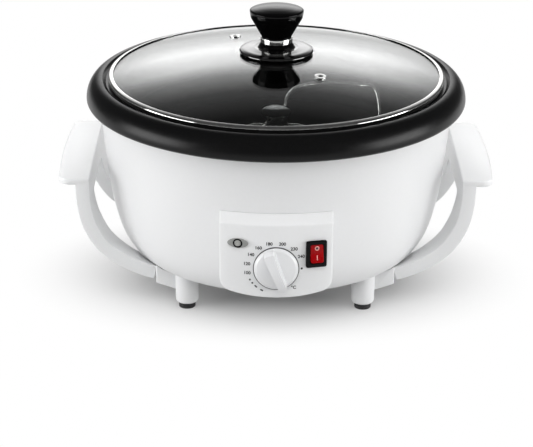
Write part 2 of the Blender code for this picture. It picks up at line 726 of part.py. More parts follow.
def shell_profile():
    """Outer side of the bowl from its rim down to the turned-in bottom."""
    height = SHELL_TOP_Z - SHELL_BOTTOM_Z
    side = [
        (SHELL_TOP_RADIUS * wide, SHELL_BOTTOM_Z + height * high)
        for wide, high in zip(SHELL_RADIUS_SHARES, SHELL_HEIGHT_SHARES)
    ]
    return side[::-1]


def shell_radius(z):
    """Radius of the bowl's outer side at a height."""
    side = shell_profile()
    for (upper_radius, upper_z), (lower_radius, lower_z) in zip(side, side[1:]):
        if lower_z <= z <= upper_z:
            return lower_radius + (upper_radius - lower_radius) * (z - lower_z) / (upper_z - lower_z)
    return side[0][0]


def grown_bowl(name, parent):
    """The bowl's outer form with the gap that its neighbours keep, as a solid to cut with."""
    side = [(radius + GAP, z - GAP) for radius, z in shell_profile()]
    top = side[0][1]
    return turned(name, [(0.0, top)] + side + [(0.0, side[-1][1])], parent, LARGE_STEPS)


# Roasting pan


def pan_profile():
    """The coated face of the pan, from the spindle boss out over the flange."""
    boss_top = PAN_FLOOR_Z + PAN_BOSS_HEIGHT
    boss = [(PAN_BORE_RADIUS, boss_top), (PAN_BOSS_RADIUS, boss_top), (PAN_BOSS_FOOT_RADIUS, PAN_FLOOR_Z)]
    corner_centre = (PAN_FLOOR_RADIUS - PAN_CORNER_RADIUS, PAN_FLOOR_Z + PAN_CORNER_RADIUS)
    corner = arc(corner_centre, PAN_CORNER_RADIUS, -pi / 2, 0.0, 2)
    step = [(PAN_STEP_RADIUS, PAN_STEP_Z), (PAN_STEP_RADIUS + PAN_STEP_WIDTH, PAN_STEP_Z + PAN_STEP_RISE)]
    seat = [(PAN_MOUTH_RADIUS, LID_SEAT_Z), (LID_SEAT_RADIUS, LID_SEAT_Z)]
    slope = (FLANGE_RADIUS - LIP_RADIUS, LIP_Z - FLANGE_EDGE_Z)
    flange = arc((LIP_RADIUS, FLANGE_EDGE_Z), slope, pi / 2, 0.0, 4)
    roll_centre = (FLANGE_RADIUS - FLANGE_ROLL_RADIUS, FLANGE_EDGE_Z)
    roll = arc(roll_centre, FLANGE_ROLL_RADIUS, 0.0, FLANGE_ROLL_END, 2)
    return boss + corner + step + seat + flange + roll[1:]


def make_pan(parent):
    pan = turned_sheet("pan_sheet", pan_profile(), PAN_WALL, parent)
    return as_part(pan, "roasting_pan", "black_coating")


# White bowl


def seat_under_flange():
    """Where the bowl's rim meets the underside of the pan's flange."""
    slope_radius = FLANGE_RADIUS - LIP_RADIUS - PAN_WALL
    slope_height = LIP_Z - FLANGE_EDGE_Z - PAN_WALL
    across = SHELL_RIM_RADIUS - LIP_RADIUS
    return FLANGE_EDGE_Z + slope_height * sqrt(1 - (across / slope_radius) ** 2) - SINK


def tray_screw_spots():
    """The four tray screws, either side of the roaster's front and back."""
    reach = TRAY_SCREW_RADIUS_FROM_AXIS
    turns = (TRAY_SCREW_ANGLE, pi - TRAY_SCREW_ANGLE, pi + TRAY_SCREW_ANGLE, -TRAY_SCREW_ANGLE)
    return [(reach * sin(turn), reach * cos(turn)) for turn in turns]


def make_shell(parent):
    rim = [(SHELL_RIM_RADIUS, seat_under_flange())]
    profile = rim + shell_profile() + [(SHELL_LIP_RADIUS, SHELL_BOTTOM_Z)]
    shell = turned_sheet("shell_sheet", profile, SHELL_WALL, parent)
    boss_start = SHELL_BOTTOM_Z + SHELL_WALL / 2
    boss_end = boss_start + SHELL_BOSS_HEIGHT
    bosses = [
        cylinder("boss", SHELL_BOSS_RADIUS, boss_start, boss_end, parent, spot)
        for spot in tray_screw_spots()
    ]
    fuse(shell, grouped("shell_bosses", bosses, parent))
    bore_radius = TRAY_SCREW_RADIUS + GAP
    bores = [
        cylinder("bore", bore_radius, SHELL_BOTTOM_Z - OVERRUN, boss_end + OVERRUN, parent, spot)
        for spot in tray_screw_spots()
    ]
    cut(shell, grouped("shell_screw_bores", bores, parent))
    window_half_width = SWITCH_X + SWITCH_BODY_WIDTH / 2 + WINDOW_MARGIN
    window_bottom = DIAL_Z - THERMOSTAT_RADIUS - WINDOW_MARGIN
    window_top = LAMP_Z + LAMP_STEM_RADIUS + WINDOW_MARGIN
    window_low = (-window_half_width, -PANEL_RADIUS, window_bottom)
    window_high = (window_half_width, -SHELL_LIP_RADIUS, window_top)
    cut(shell, box("control_window", window_low, window_high, parent))
    gland_reach = GLAND_INNER_LENGTH + SHELL_WALL + OVERRUN
    gland_hole = cylinder("gland_hole", GLAND_RADIUS + GAP, -gland_reach, GLAND_FLANGE_THICKNESS, gland_frame)
    cut(shell, gland_hole)
    return as_part(shell, "outer_shell", "white_plastic")


# Bottom tray, legs, feet


def leg_and_block(parent):
    """One leg with the block beside it, trimmed to the bowl and repeated at the four corners."""
    leg = cylinder("leg_form", LEG_RADIUS, FOOT_HEIGHT, LEG_TOP_Z, parent, LEG_SPOT, MEDIUM_STEPS)
    side = [
        (BLOCK_START_X, BLOCK_BOTTOM_Z),
        (BLOCK_SLOPE_X, BLOCK_BOTTOM_Z),
        (BLOCK_END_X, BLOCK_END_Z),
        (BLOCK_END_X, LEG_TOP_Z),
        (BLOCK_START_X, LEG_TOP_Z),
    ]
    fuse(leg, upright_outline("block_form", side, BLOCK_BACK_Y, BLOCK_FRONT_Y, parent))
    cut(leg, grown_bowl("bowl_clearance", parent))
    return mirrored(leg, across_y=True)


def tongue_box(name, margin, depth, parent):
    """The handle's tongue, or with a margin the pocket that it plugs into."""
    middle_y = HANDLE_HALF_WIDTH - ARM_FOOT_DEPTH / 2
    low = (BLOCK_END_X - depth, middle_y - TONGUE_WIDTH / 2 - margin, TONGUE_Z - TONGUE_HEIGHT / 2 - margin)
    high = (BLOCK_END_X + SINK, middle_y + TONGUE_WIDTH / 2 + margin, TONGUE_Z + TONGUE_HEIGHT / 2 + margin)
    return box(name, low, high, parent)


def handle_screw_spot():
    """Middle of one handle screw, in plan."""
    return (BLOCK_END_X - TONGUE_LENGTH / 2, HANDLE_HALF_WIDTH - ARM_FOOT_DEPTH / 2)


def handle_screw_seat():
    """Height of the face in the block that the handle screw's head pulls against."""
    return BLOCK_END_Z + HANDLE_SCREW_SEAT_RISE


def make_tray(parent):
    tray = cylinder("tray_disc", TRAY_RADIUS, TRAY_BOTTOM_Z, TRAY_TOP_Z, parent, steps=LARGE_STEPS)
    fuse(tray, leg_and_block(parent))
    stud_hole_top = FOOT_HEIGHT + FOOT_STUD_HEIGHT + GAP
    stud_hole = cylinder(
        "foot_stud_hole", FOOT_STUD_RADIUS + GAP, FOOT_HEIGHT - OVERRUN, stud_hole_top, parent, LEG_SPOT
    )
    cut(tray, mirrored(stud_hole, across_y=True))
    pocket = tongue_box("tongue_pocket", GAP, TONGUE_LENGTH + GAP, parent)
    cut(tray, mirrored(pocket, across_y=True))
    spot = handle_screw_spot()
    screw_hole = cylinder("handle_screw_hole", HANDLE_SCREW_RADIUS + GAP, 0.0, TONGUE_Z, parent, spot)
    cut(tray, mirrored(screw_hole, across_y=True))
    head_radius = HANDLE_SCREW_HEAD_RADIUS + GAP
    head_hole = cylinder("handle_screw_seat", head_radius, 0.0, handle_screw_seat(), parent, spot)
    cut(tray, mirrored(head_hole, across_y=True))
    bores = [
        cylinder("bore", TRAY_SCREW_RADIUS + GAP, TRAY_BOTTOM_Z - OVERRUN, TRAY_TOP_Z + OVERRUN, parent, spot)
        for spot in tray_screw_spots()
    ]
    cut(tray, grouped("tray_screw_holes", bores, parent))
    cut(tray, vent_slots(parent))
    return as_part(tray, "base_tray", "white_plastic")


def vent_slots(parent):
    """A ring of radial slots that let air in under the motor."""
    slots = []
    for index in range(VENT_COUNT):
        low = (VENT_RADIUS_FROM_AXIS, -VENT_WIDTH / 2, TRAY_BOTTOM_Z - OVERRUN)
        high = (VENT_RADIUS_FROM_AXIS + VENT_LENGTH, VENT_WIDTH / 2, TRAY_TOP_Z + OVERRUN)
        slot = box("slot", low, high, parent)
        slot.rotation_euler = (0.0, 0.0, 2 * pi * (index + VENT_PHASE_SHARE) / VENT_COUNT)
        slots.append(slot)
    return grouped("vent_slots", slots, parent)


def make_feet(parent):
    """One rubber foot under each leg, with a stud pushed up into it."""
    top = FOOT_HEIGHT - GAP
    profile = [
        (0.0, FOOT_HEIGHT + FOOT_STUD_HEIGHT - GAP),
        (FOOT_STUD_RADIUS, FOOT_HEIGHT + FOOT_STUD_HEIGHT - GAP),
        (FOOT_STUD_RADIUS, top),
        (FOOT_RADIUS, top),
        (FOOT_RADIUS, FOOT_CHAMFER),
        (FOOT_RADIUS - FOOT_CHAMFER, 0.0),
        (0.0, 0.0),
    ]
    for corner, (side_x, side_y) in CORNERS.items():
        foot = turned("foot", profile, parent, SMALL_STEPS)
        foot.location = (side_x * LEG_SPREAD, side_y * LEG_SPREAD, 0.0)
        as_part(foot, "foot_" + corner, "black_rubber")


def screw_from_below(name, head_radius, head_height, radius, length, top_of_head, spot, parent):
    """A pan-head screw that points up, with its head's top face at a height."""
    profile = [
        (0.0, top_of_head + length),
        (radius, top_of_head + length - radius * SCREW_TIP_SHARE),
        (radius, top_of_head),
        (head_radius, top_of_head),
        (head_radius, top_of_head - head_height * SCREW_EDGE_SHARE),
        (head_radius - head_height * SCREW_EDGE_SHARE, top_of_head - head_height),
        (0.0, top_of_head - head_height),
    ]
    screw = turned(name, profile, parent, TINY_STEPS)
    screw.location = (*spot, 0.0)
    return screw


def make_base_screws(parent):
    """Screws up through the tray into the bowl's bosses, and through the blocks into the handles."""
    size = (TRAY_SCREW_HEAD_RADIUS, TRAY_SCREW_HEAD_HEIGHT, TRAY_SCREW_RADIUS, TRAY_SCREW_LENGTH)
    for index, spot in enumerate(tray_screw_spots()):
        screw = screw_from_below("screw", *size, TRAY_BOTTOM_Z - GAP, spot, parent)
        as_part(screw, f"tray_screw_{index + 1}", "zinc_plated_steel")
    size = (HANDLE_SCREW_HEAD_RADIUS, HANDLE_SCREW_HEAD_HEIGHT, HANDLE_SCREW_RADIUS, HANDLE_SCREW_LENGTH)
    x, y = handle_screw_spot()
    for corner, (side_x, side_y) in CORNERS.items():
        screw = screw_from_below("screw", *size, handle_screw_seat() - GAP, (side_x * x, side_y * y), parent)
        as_part(screw, "handle_screw_" + corner, "zinc_plated_steel")


# Handles


def arm_outline():
    """Side view of the arm: a band of even thickness on a curved centre line."""
    reach = ARM_TOP_X - BLOCK_END_X
    rise = HANDLE_TOP_Z - ARM_FOOT_Z
    centre = [
        (BLOCK_END_X + GAP + (reach - GAP) * across, ARM_FOOT_Z + rise * up)
        for across, up in zip(ARM_REACH_SHARES, ARM_RISE_SHARES)
    ]
    line = smooth_through(centre, 2)
    upper = offset_line(line, ARM_THICKNESS / 2)
    lower = offset_line(line, -ARM_THICKNESS / 2)
    foot_x = BLOCK_END_X + GAP
    upper[-1] = (foot_x, upper[-1][1])
    lower[-1] = (foot_x, lower[-1][1])
    return upper + lower[::-1]


def grip_outline():
    """Plan of the flat grip, square against the bowl and bowed on its outer side."""
    inner = ARM_TOP_X - ARM_THICKNESS / 2
    corner_centre = (GRIP_END_X - GRIP_CORNER_RADIUS, HANDLE_HALF_WIDTH - GRIP_CORNER_RADIUS)
    corner = arc(corner_centre, GRIP_CORNER_RADIUS, pi / 2, 0.0, 5)
    side = [(GRIP_END_X + GRIP_BOW * (1 - share**2), corner_centre[1] * share) for share in GRIP_BOW_SHARES]
    half = [(inner, HANDLE_HALF_WIDTH)] + corner + side
    return half + [(x, -y) for x, y in half[-2::-1]]


def hand_opening():
    """Outline, seen from the side, of what is open between the two arms."""
    foot = HANDLE_HALF_WIDTH - ARM_FOOT_DEPTH
    neck = HANDLE_HALF_WIDTH - ARM_TOP_DEPTH
    corner_centre = (neck - OPENING_CORNER, OPENING_TOP_Z - OPENING_CORNER)
    corner = arc(corner_centre, OPENING_CORNER, 0.0, pi / 2, 3)
    half = [(foot, 0.0), (foot, OPENING_FOOT_Z), (neck, OPENING_NARROW_Z)] + corner
    return half + [(-y, z) for y, z in half[::-1]]


def make_handle(name, side, parent):
    frame = empty_at(name + "_frame", parent, (0.0, 0.0, 0.0), (0.0, 0.0, 0.0 if side > 0 else pi))
    arm = upright_outline("arm_band", arm_outline(), -HANDLE_HALF_WIDTH, HANDLE_HALF_WIDTH, frame)
    grip = flat_outline("grip_plate", grip_outline(), GRIP_THICKNESS, frame, GRIP_EDGE_ROUND)
    grip.location = (0.0, 0.0, HANDLE_TOP_Z - GRIP_THICKNESS / 2)
    fuse(arm, curve_to_mesh(grip))
    cut(arm, sideways_outline("hand_opening", hand_opening(), 0.0, GRIP_END_X, frame))
    recess_low = (
        ARM_TOP_X - ARM_THICKNESS / 2 + GRIP_WALL,
        -(HANDLE_HALF_WIDTH - ARM_TOP_DEPTH),
        OPENING_TOP_Z - OPENING_CORNER,
    )
    recess_high = (GRIP_END_X, HANDLE_HALF_WIDTH - ARM_TOP_DEPTH, HANDLE_TOP_Z - GRIP_THICKNESS - SINK)
    cut(arm, box("finger_recess", recess_low, recess_high, frame))
    cut(arm, grown_bowl("handle_bowl_clearance", frame))
    fuse(arm, mirrored(tongue_box("tongue", 0.0, TONGUE_LENGTH, frame), across_x=False, across_y=True))
    bore_radius = HANDLE_SCREW_RADIUS + GAP
    bore = cylinder("tongue_bore", bore_radius, 0.0, LEG_TOP_Z, frame, handle_screw_spot(), TINY_STEPS)
    cut(arm, mirrored(bore, across_x=False, across_y=True))
    return as_part(arm, name, "white_plastic")


# Control panel


def panel_outline(inset):
    """Front view of the panel, with its bowed lower edge, moved inwards by an inset."""
    width = PANEL_HALF_WIDTH - inset
    bottom = PANEL_BOTTOM_Z + inset
    half = [
        (width * across, bottom + PANEL_SIDE_RISE * up)
        for across, up in zip(PANEL_WIDTH_SHARES, PANEL_RISE_SHARES)
    ]
    top = PANEL_TOP_Z + OVERRUN
    return half + [(width, top), (-width, top)] + [(-x, z) for x, z in half[:0:-1]]


def panel_ring(name, outer, drop, inner_gap, parent):
    """The ring between the bowl and the panel's face that the panel is a part of."""
    top = PANEL_TOP_Z - drop
    face_top = PANEL_FACE_TOP_Z - drop
    inner = [
        (radius + inner_gap, z) for radius, z in shell_profile()[::-1] if PANEL_BOTTOM_Z - OVERRUN < z < top
    ]
    bottom = PANEL_BOTTOM_Z - DEEP_OVERRUN
    foot = [(outer, bottom), (shell_radius(bottom) + inner_gap, bottom)]
    inner_top = shell_radius(top) + inner_gap
    top_outer = max(PANEL_TOP_RADIUS - (PANEL_RADIUS - outer), inner_top + PANEL_TOP_LEDGE)
    profile = [(inner_top, top), (top_outer, top), (outer, face_top)] + foot + inner
    return turned(name, profile, parent, PANEL_STEPS, closed=True)


def make_panel(parent):
    panel = panel_ring("panel_form", PANEL_RADIUS, 0.0, GAP, parent)
    ahead = -PANEL_RADIUS - OVERRUN
    front = upright_outline("panel_front", panel_outline(0.0), ahead, 0.0, parent)
    keep_inside(panel, front)
    hollow = panel_ring("panel_hollow", PANEL_RADIUS - PANEL_WALL, PANEL_WALL, -PANEL_HOLLOW_OVERLAP, parent)
    hollow_front = upright_outline("hollow_front", panel_outline(PANEL_WALL), ahead, 0.0, parent)
    keep_inside(hollow, hollow_front)
    cut(panel, hollow)
    behind = PANEL_WALL + DEEP_OVERRUN
    neck_radius = THERMOSTAT_NECK_RADIUS + GAP
    cut(panel, cylinder("neck_hole", neck_radius, -behind, PANEL_WALL, dial_axis))
    half_width = SWITCH_BODY_WIDTH / 2 + GAP
    half_height = SWITCH_BODY_HEIGHT / 2 + GAP
    hole_low = (-half_width, -PANEL_WALL, -half_height)
    hole_high = (half_width, behind, half_height)
    cut(panel, box("switch_hole", hole_low, hole_high, switch_frame))
    lamp_hole_radius = LAMP_STEM_RADIUS + GAP
    cut(panel, cylinder("lamp_hole", lamp_hole_radius, -behind, PANEL_WALL, lamp_axis))
    return as_part(panel, "control_panel", "white_plastic")


def panel_frame(name, x, z, parent):
    """A frame on the panel's face at a place across it, with its own -Y pointing straight out."""
    turn = asin(x / PANEL_RADIUS)
    return empty_at(name, parent, (x, -PANEL_RADIUS * cos(turn), z), (0.0, 0.0, turn))


def make_thermostat(parent):
    """Capillary thermostat behind the panel, held by a nut on its threaded neck."""
    sag = PANEL_RADIUS - PANEL_WALL - sqrt((PANEL_RADIUS - PANEL_WALL) ** 2 - THERMOSTAT_RADIUS**2)
    front = -PANEL_WALL - sag - GAP
    neck_top = GAP + NUT_THICKNESS
    bore = THERMOSTAT_SHAFT_RADIUS + RUNNING_GAP
    shaft_bottom = front - THERMOSTAT_DEPTH / 2
    body_profile = [
        (bore, neck_top),
        (THERMOSTAT_NECK_RADIUS, neck_top),
        (THERMOSTAT_NECK_RADIUS, front),
        (THERMOSTAT_RADIUS, front),
        (THERMOSTAT_RADIUS, front - THERMOSTAT_DEPTH),
        (0.0, front - THERMOSTAT_DEPTH),
        (0.0, shaft_bottom - RUNNING_GAP),
        (bore, shaft_bottom - RUNNING_GAP),
        (bore, neck_top),
    ]
    body = turned("thermostat", body_profile, dial_axis, SMALL_STEPS)
    as_part(body, "thermostat_body", "zinc_plated_steel")
    nut = cylinder("nut", NUT_RADIUS, GAP, neck_top, dial_axis, steps=NUT_SIDES)
    cut(nut, cylinder("nut_bore", THERMOSTAT_NECK_RADIUS + GAP, -OVERRUN, neck_top + OVERRUN, dial_axis))
    as_part(nut, "thermostat_nut", "zinc_plated_steel")
    shaft = cylinder("shaft", THERMOSTAT_SHAFT_RADIUS, shaft_bottom, THERMOSTAT_SHAFT_REACH, dial_turn)
    as_part(shaft, "thermostat_shaft", "zinc_plated_steel")


def make_dial_knob():
    """Round knob with a raised grip bar across it, hollow round the thermostat's nut."""
    back = GAP
    skirt_top = back + KNOB_SKIRT
    dome_rise = KNOB_DOME_HEIGHT - KNOB_SKIRT
    profile = [
        (KNOB_RADIUS * wide, skirt_top + dome_rise * high)
        for wide, high in zip(KNOB_DOME_RADIUS_SHARES, KNOB_DOME_RISE_SHARES)
    ]
    pocket_top = back + KNOB_POCKET_DEPTH
    profile += [(KNOB_RADIUS, back), (KNOB_POCKET_RADIUS, back)]
    profile += [(KNOB_POCKET_RADIUS, pocket_top), (0.0, pocket_top)]
    knob = turned("knob", profile, dial_turn, MEDIUM_STEPS)
    half = KNOB_GRIP_LENGTH / 2
    base = KNOB_GRIP_WIDTH / 2
    tip = KNOB_GRIP_TOP_WIDTH / 2
    low = pocket_top + SINK
    end_rise = (KNOB_GRIP_HEIGHT + KNOB_DOME_HEIGHT) / 2
    section = [(-base, low), (base, low), (tip, KNOB_GRIP_HEIGHT), (-tip, KNOB_GRIP_HEIGHT)]
    grip = upright_outline("grip_bar", section, -half, half, dial_turn)
    rounder_profile = [
        (0.0, KNOB_GRIP_HEIGHT + GAP),
        (half * KNOB_GRIP_CREST_SHARE, KNOB_GRIP_HEIGHT + GAP),
        (half, end_rise),
        (half, back),
        (0.0, back),
    ]
    keep_inside(grip, turned("grip_ends", rounder_profile, dial_turn, MEDIUM_STEPS))
    fuse(knob, grip)
    bore_top = THERMOSTAT_SHAFT_REACH + GAP
    cut(knob, cylinder("shaft_bore", THERMOSTAT_SHAFT_RADIUS + GAP, -OVERRUN, bore_top, dial_turn))
    return as_part(knob, "temperature_knob", "white_knob")


def make_switch():
    """Snap-in rocker switch: black housing, red rocker on pins and two flat tabs behind."""
    half_width = BEZEL_WIDTH / 2
    half_height = BEZEL_HEIGHT / 2
    back = GAP
    housing = box(
        "bezel", (-half_width, -BEZEL_PROUD, -half_height), (half_width, -back, half_height), switch_frame
    )
    body_low = (-SWITCH_BODY_WIDTH / 2, -BEZEL_PROUD / 2, -SWITCH_BODY_HEIGHT / 2)
    body_high = (SWITCH_BODY_WIDTH / 2, SWITCH_BODY_DEPTH, SWITCH_BODY_HEIGHT / 2)
    fuse(housing, box("switch_body", body_low, body_high, switch_frame))
    pocket_half_width = ROCKER_WIDTH / 2 + RUNNING_GAP
    pocket_half_height = ROCKER_HALF_HEIGHT + ROCKER_END_CLEARANCE
    pocket_low = (-pocket_half_width, -BEZEL_PROUD - OVERRUN, -pocket_half_height)
    pocket_high = (pocket_half_width, ROCKER_POCKET_DEPTH, pocket_half_height)
    cut(housing, box("rocker_pocket", pocket_low, pocket_high, switch_frame))
    pin_reach = ROCKER_WIDTH / 2 + ROCKER_PIN_REACH
    hole_radius = ROCKER_PIN_RADIUS + GAP
    hole_reach = pin_reach + GAP
    hole = cylinder("pin_hole", hole_radius, -hole_reach, hole_reach, rocker_axis, steps=TINY_STEPS)
    hole.rotation_euler = (0.0, pi / 2, 0.0)
    cut(housing, hole)
    as_part(housing, "switch_housing", "black_plastic")
    rocker = sideways_outline("rocker", rocker_outline(), -ROCKER_WIDTH / 2, ROCKER_WIDTH / 2, rocker_rest)
    pin = cylinder("rocker_pin", ROCKER_PIN_RADIUS, -pin_reach, pin_reach, rocker_axis, steps=TINY_STEPS)
    pin.rotation_euler = (0.0, pi / 2, 0.0)
    fuse(rocker, pin)
    as_part(rocker, "power_rocker", "red_plastic")
    for place_name, side in (("lower", -1), ("upper", 1)):
        middle = side * SWITCH_TAB_SPACING / 2
        near = SWITCH_BODY_DEPTH + GAP
        low = (-SWITCH_TAB_WIDTH / 2, near, middle - SWITCH_TAB_THICKNESS / 2)
        high = (SWITCH_TAB_WIDTH / 2, near + SWITCH_TAB_LENGTH, middle + SWITCH_TAB_THICKNESS / 2)
        as_part(box("tab", low, high, switch_frame), "switch_tab_" + place_name, "brass")


def rocker_outline():
    """Side view of the rocker about its pivot: two faces that meet in a shallow valley."""
    top = ROCKER_HALF_HEIGHT
    face = [(-ROCKER_END_RISE, -top), (-ROCKER_CREST, 0.0), (-ROCKER_END_RISE, top)]
    shoulder = top * ROCKER_SHOULDER_SHARE
    root = top * ROCKER_ROOT_SHARE
    return face + [(0.0, shoulder), (ROCKER_ROOT, root), (ROCKER_ROOT, -root), (0.0, -shoulder)]


def make_lamp():
    """Oval signal lamp: plate with a stem through the panel, clear lens and a neon bulb."""
    half_height = LAMP_PLATE_HEIGHT / 2
    end = LAMP_PLATE_WIDTH / 2 - half_height
    right = arc((end, 0.0), half_height, -pi / 2, pi / 2, 6)
    left = arc((-end, 0.0), half_height, pi / 2, pi * 1.5, 6)
    plate_thickness = LAMP_PLATE_PROUD - GAP
    plate = flat_outline("lamp_plate", right + left, plate_thickness, lamp_axis)
    plate.location = (0.0, 0.0, GAP + plate_thickness / 2)
    plate = curve_to_mesh(plate)
    stem_top = GAP + plate_thickness / 2
    fuse(plate, cylinder("lamp_stem", LAMP_STEM_RADIUS - SINK, -LAMP_STEM_DEPTH, stem_top, lamp_axis))
    lens_bore = LAMP_RADIUS + GAP
    bore_bottom = -LAMP_STEM_DEPTH - OVERRUN
    cut(plate, cylinder("lamp_bore", lens_bore, bore_bottom, LAMP_PLATE_PROUD + OVERRUN, lamp_axis))
    as_part(plate, "lamp_bezel", "grey_plastic")
    lens_back = -LENS_DEPTH
    lens_rise = LAMP_LENS_PROUD - LAMP_PLATE_PROUD
    profile = [
        (LAMP_RADIUS * wide, LAMP_PLATE_PROUD + lens_rise * high)
        for wide, high in zip(LENS_RADIUS_SHARES, LENS_RISE_SHARES)
    ]
    profile += [(LAMP_RADIUS, lens_back), (0.0, lens_back)]
    lens = turned("lens", profile, lamp_axis, SMALL_STEPS)
    as_part(lens, "lamp_lens", "clear_lens")
    bulb_top = lens_back - GAP
    bulb_profile = [
        (0.0, bulb_top),
        (NEON_RADIUS, bulb_top - NEON_RADIUS),
        (NEON_RADIUS, bulb_top - NEON_LENGTH),
        (0.0, bulb_top - NEON_LENGTH),
    ]
    bulb = turned("bulb", bulb_profile, lamp_axis, TINY_STEPS)
    as_part(bulb, "neon_bulb", "bulb_glass")


# Lid


def make_lid():
    screw_gap = LID_SCREW_RADIUS + GAP
    radii = [screw_gap + (GLASS_RADIUS - screw_gap) * share for share in GLASS_RADIUS_SHARES]
    dome = [(radius, dome_z(radius)) for radius in radii]
    glass = turned_sheet("glass", dome, LID_GLASS_THICKNESS, lid_frame)
    vents = [vent_cylinder(side) for side in (-1, 1)]
    cut(glass, grouped("vent_holes", vents, lid_frame))
    as_part(glass, "lid_glass", "lid_glass")
    band = turned("band", band_profile(), lid_frame, LARGE_STEPS, closed=True)
    as_part(band, "lid_rim_band", "polished_steel")
    for place_name, side in (("front", -1), ("rear", 1)):
        as_part(make_eyelet(side), "lid_vent_eyelet_" + place_name, "polished_steel")
    make_lid_knob(screw_gap)


def vent_frame(side):
    """A frame on the glass at one vent, with its Z square to the glass."""
    x = -side * VENT_HOLE_X
    y = side * VENT_HOLE_Y
    reach = hypot(x, y)
    lean = asin(reach / LID_DOME_RADIUS)
    name = "vent_frame_left" if side > 0 else "vent_frame_right"
    made = bpy.data.objects.get(name)
    return made or empty_at(name, lid_frame, (x, y, dome_z(reach)), (0.0, lean, atan2(y, x)))


def vent_cylinder(side):
    radius = EYELET_TUBE_RADIUS + GAP
    bottom = -LID_GLASS_THICKNESS - OVERRUN
    return cylinder("vent_hole", radius, bottom, OVERRUN, vent_frame(side), steps=TINY_STEPS)


def make_eyelet(side):
    """A steel eyelet clamped through the glass."""
    below = -LID_GLASS_THICKNESS - GAP
    profile = [
        (EYELET_BORE_RADIUS, GAP + EYELET_FLANGE_THICKNESS),
        (EYELET_FLANGE_RADIUS - EYELET_FLANGE_THICKNESS / 2, GAP + EYELET_FLANGE_THICKNESS),
        (EYELET_FLANGE_RADIUS, GAP),
        (EYELET_TUBE_RADIUS, GAP),
        (EYELET_TUBE_RADIUS, below),
        (EYELET_FLANGE_RADIUS, below),
        (EYELET_FLANGE_RADIUS - EYELET_FLANGE_THICKNESS / 2, below - EYELET_FLANGE_THICKNESS),
        (EYELET_BORE_RADIUS, below - EYELET_FLANGE_THICKNESS),
    ]
    return turned("eyelet", profile, vent_frame(side), TINY_STEPS, closed=True)


def band_profile():
    """Section of the folded steel band that grips the glass's edge."""
    outer = LID_BAND_RADIUS
    lip = outer - LID_BAND_LIP
    inner = outer - LID_BAND_WALL
    above = dome_z(inner - GAP) + GAP
    above_lip = dome_z(lip) + GAP
    below = dome_z(inner - GAP) - LID_GLASS_THICKNESS - GAP
    below_lip = dome_z(lip) - LID_GLASS_THICKNESS - GAP
    round_over = LID_BAND_WALL / 2
    return [
        (lip, above_lip + LID_BAND_WALL),
        (outer - round_over, above + LID_BAND_WALL),
        (outer, (above + below) / 2),
        (outer - round_over, below - LID_BAND_WALL),
        (lip, below_lip - LID_BAND_WALL),
        (lip, below_lip),
        (inner, below),
        (inner, above),
        (lip, above_lip),
    ]


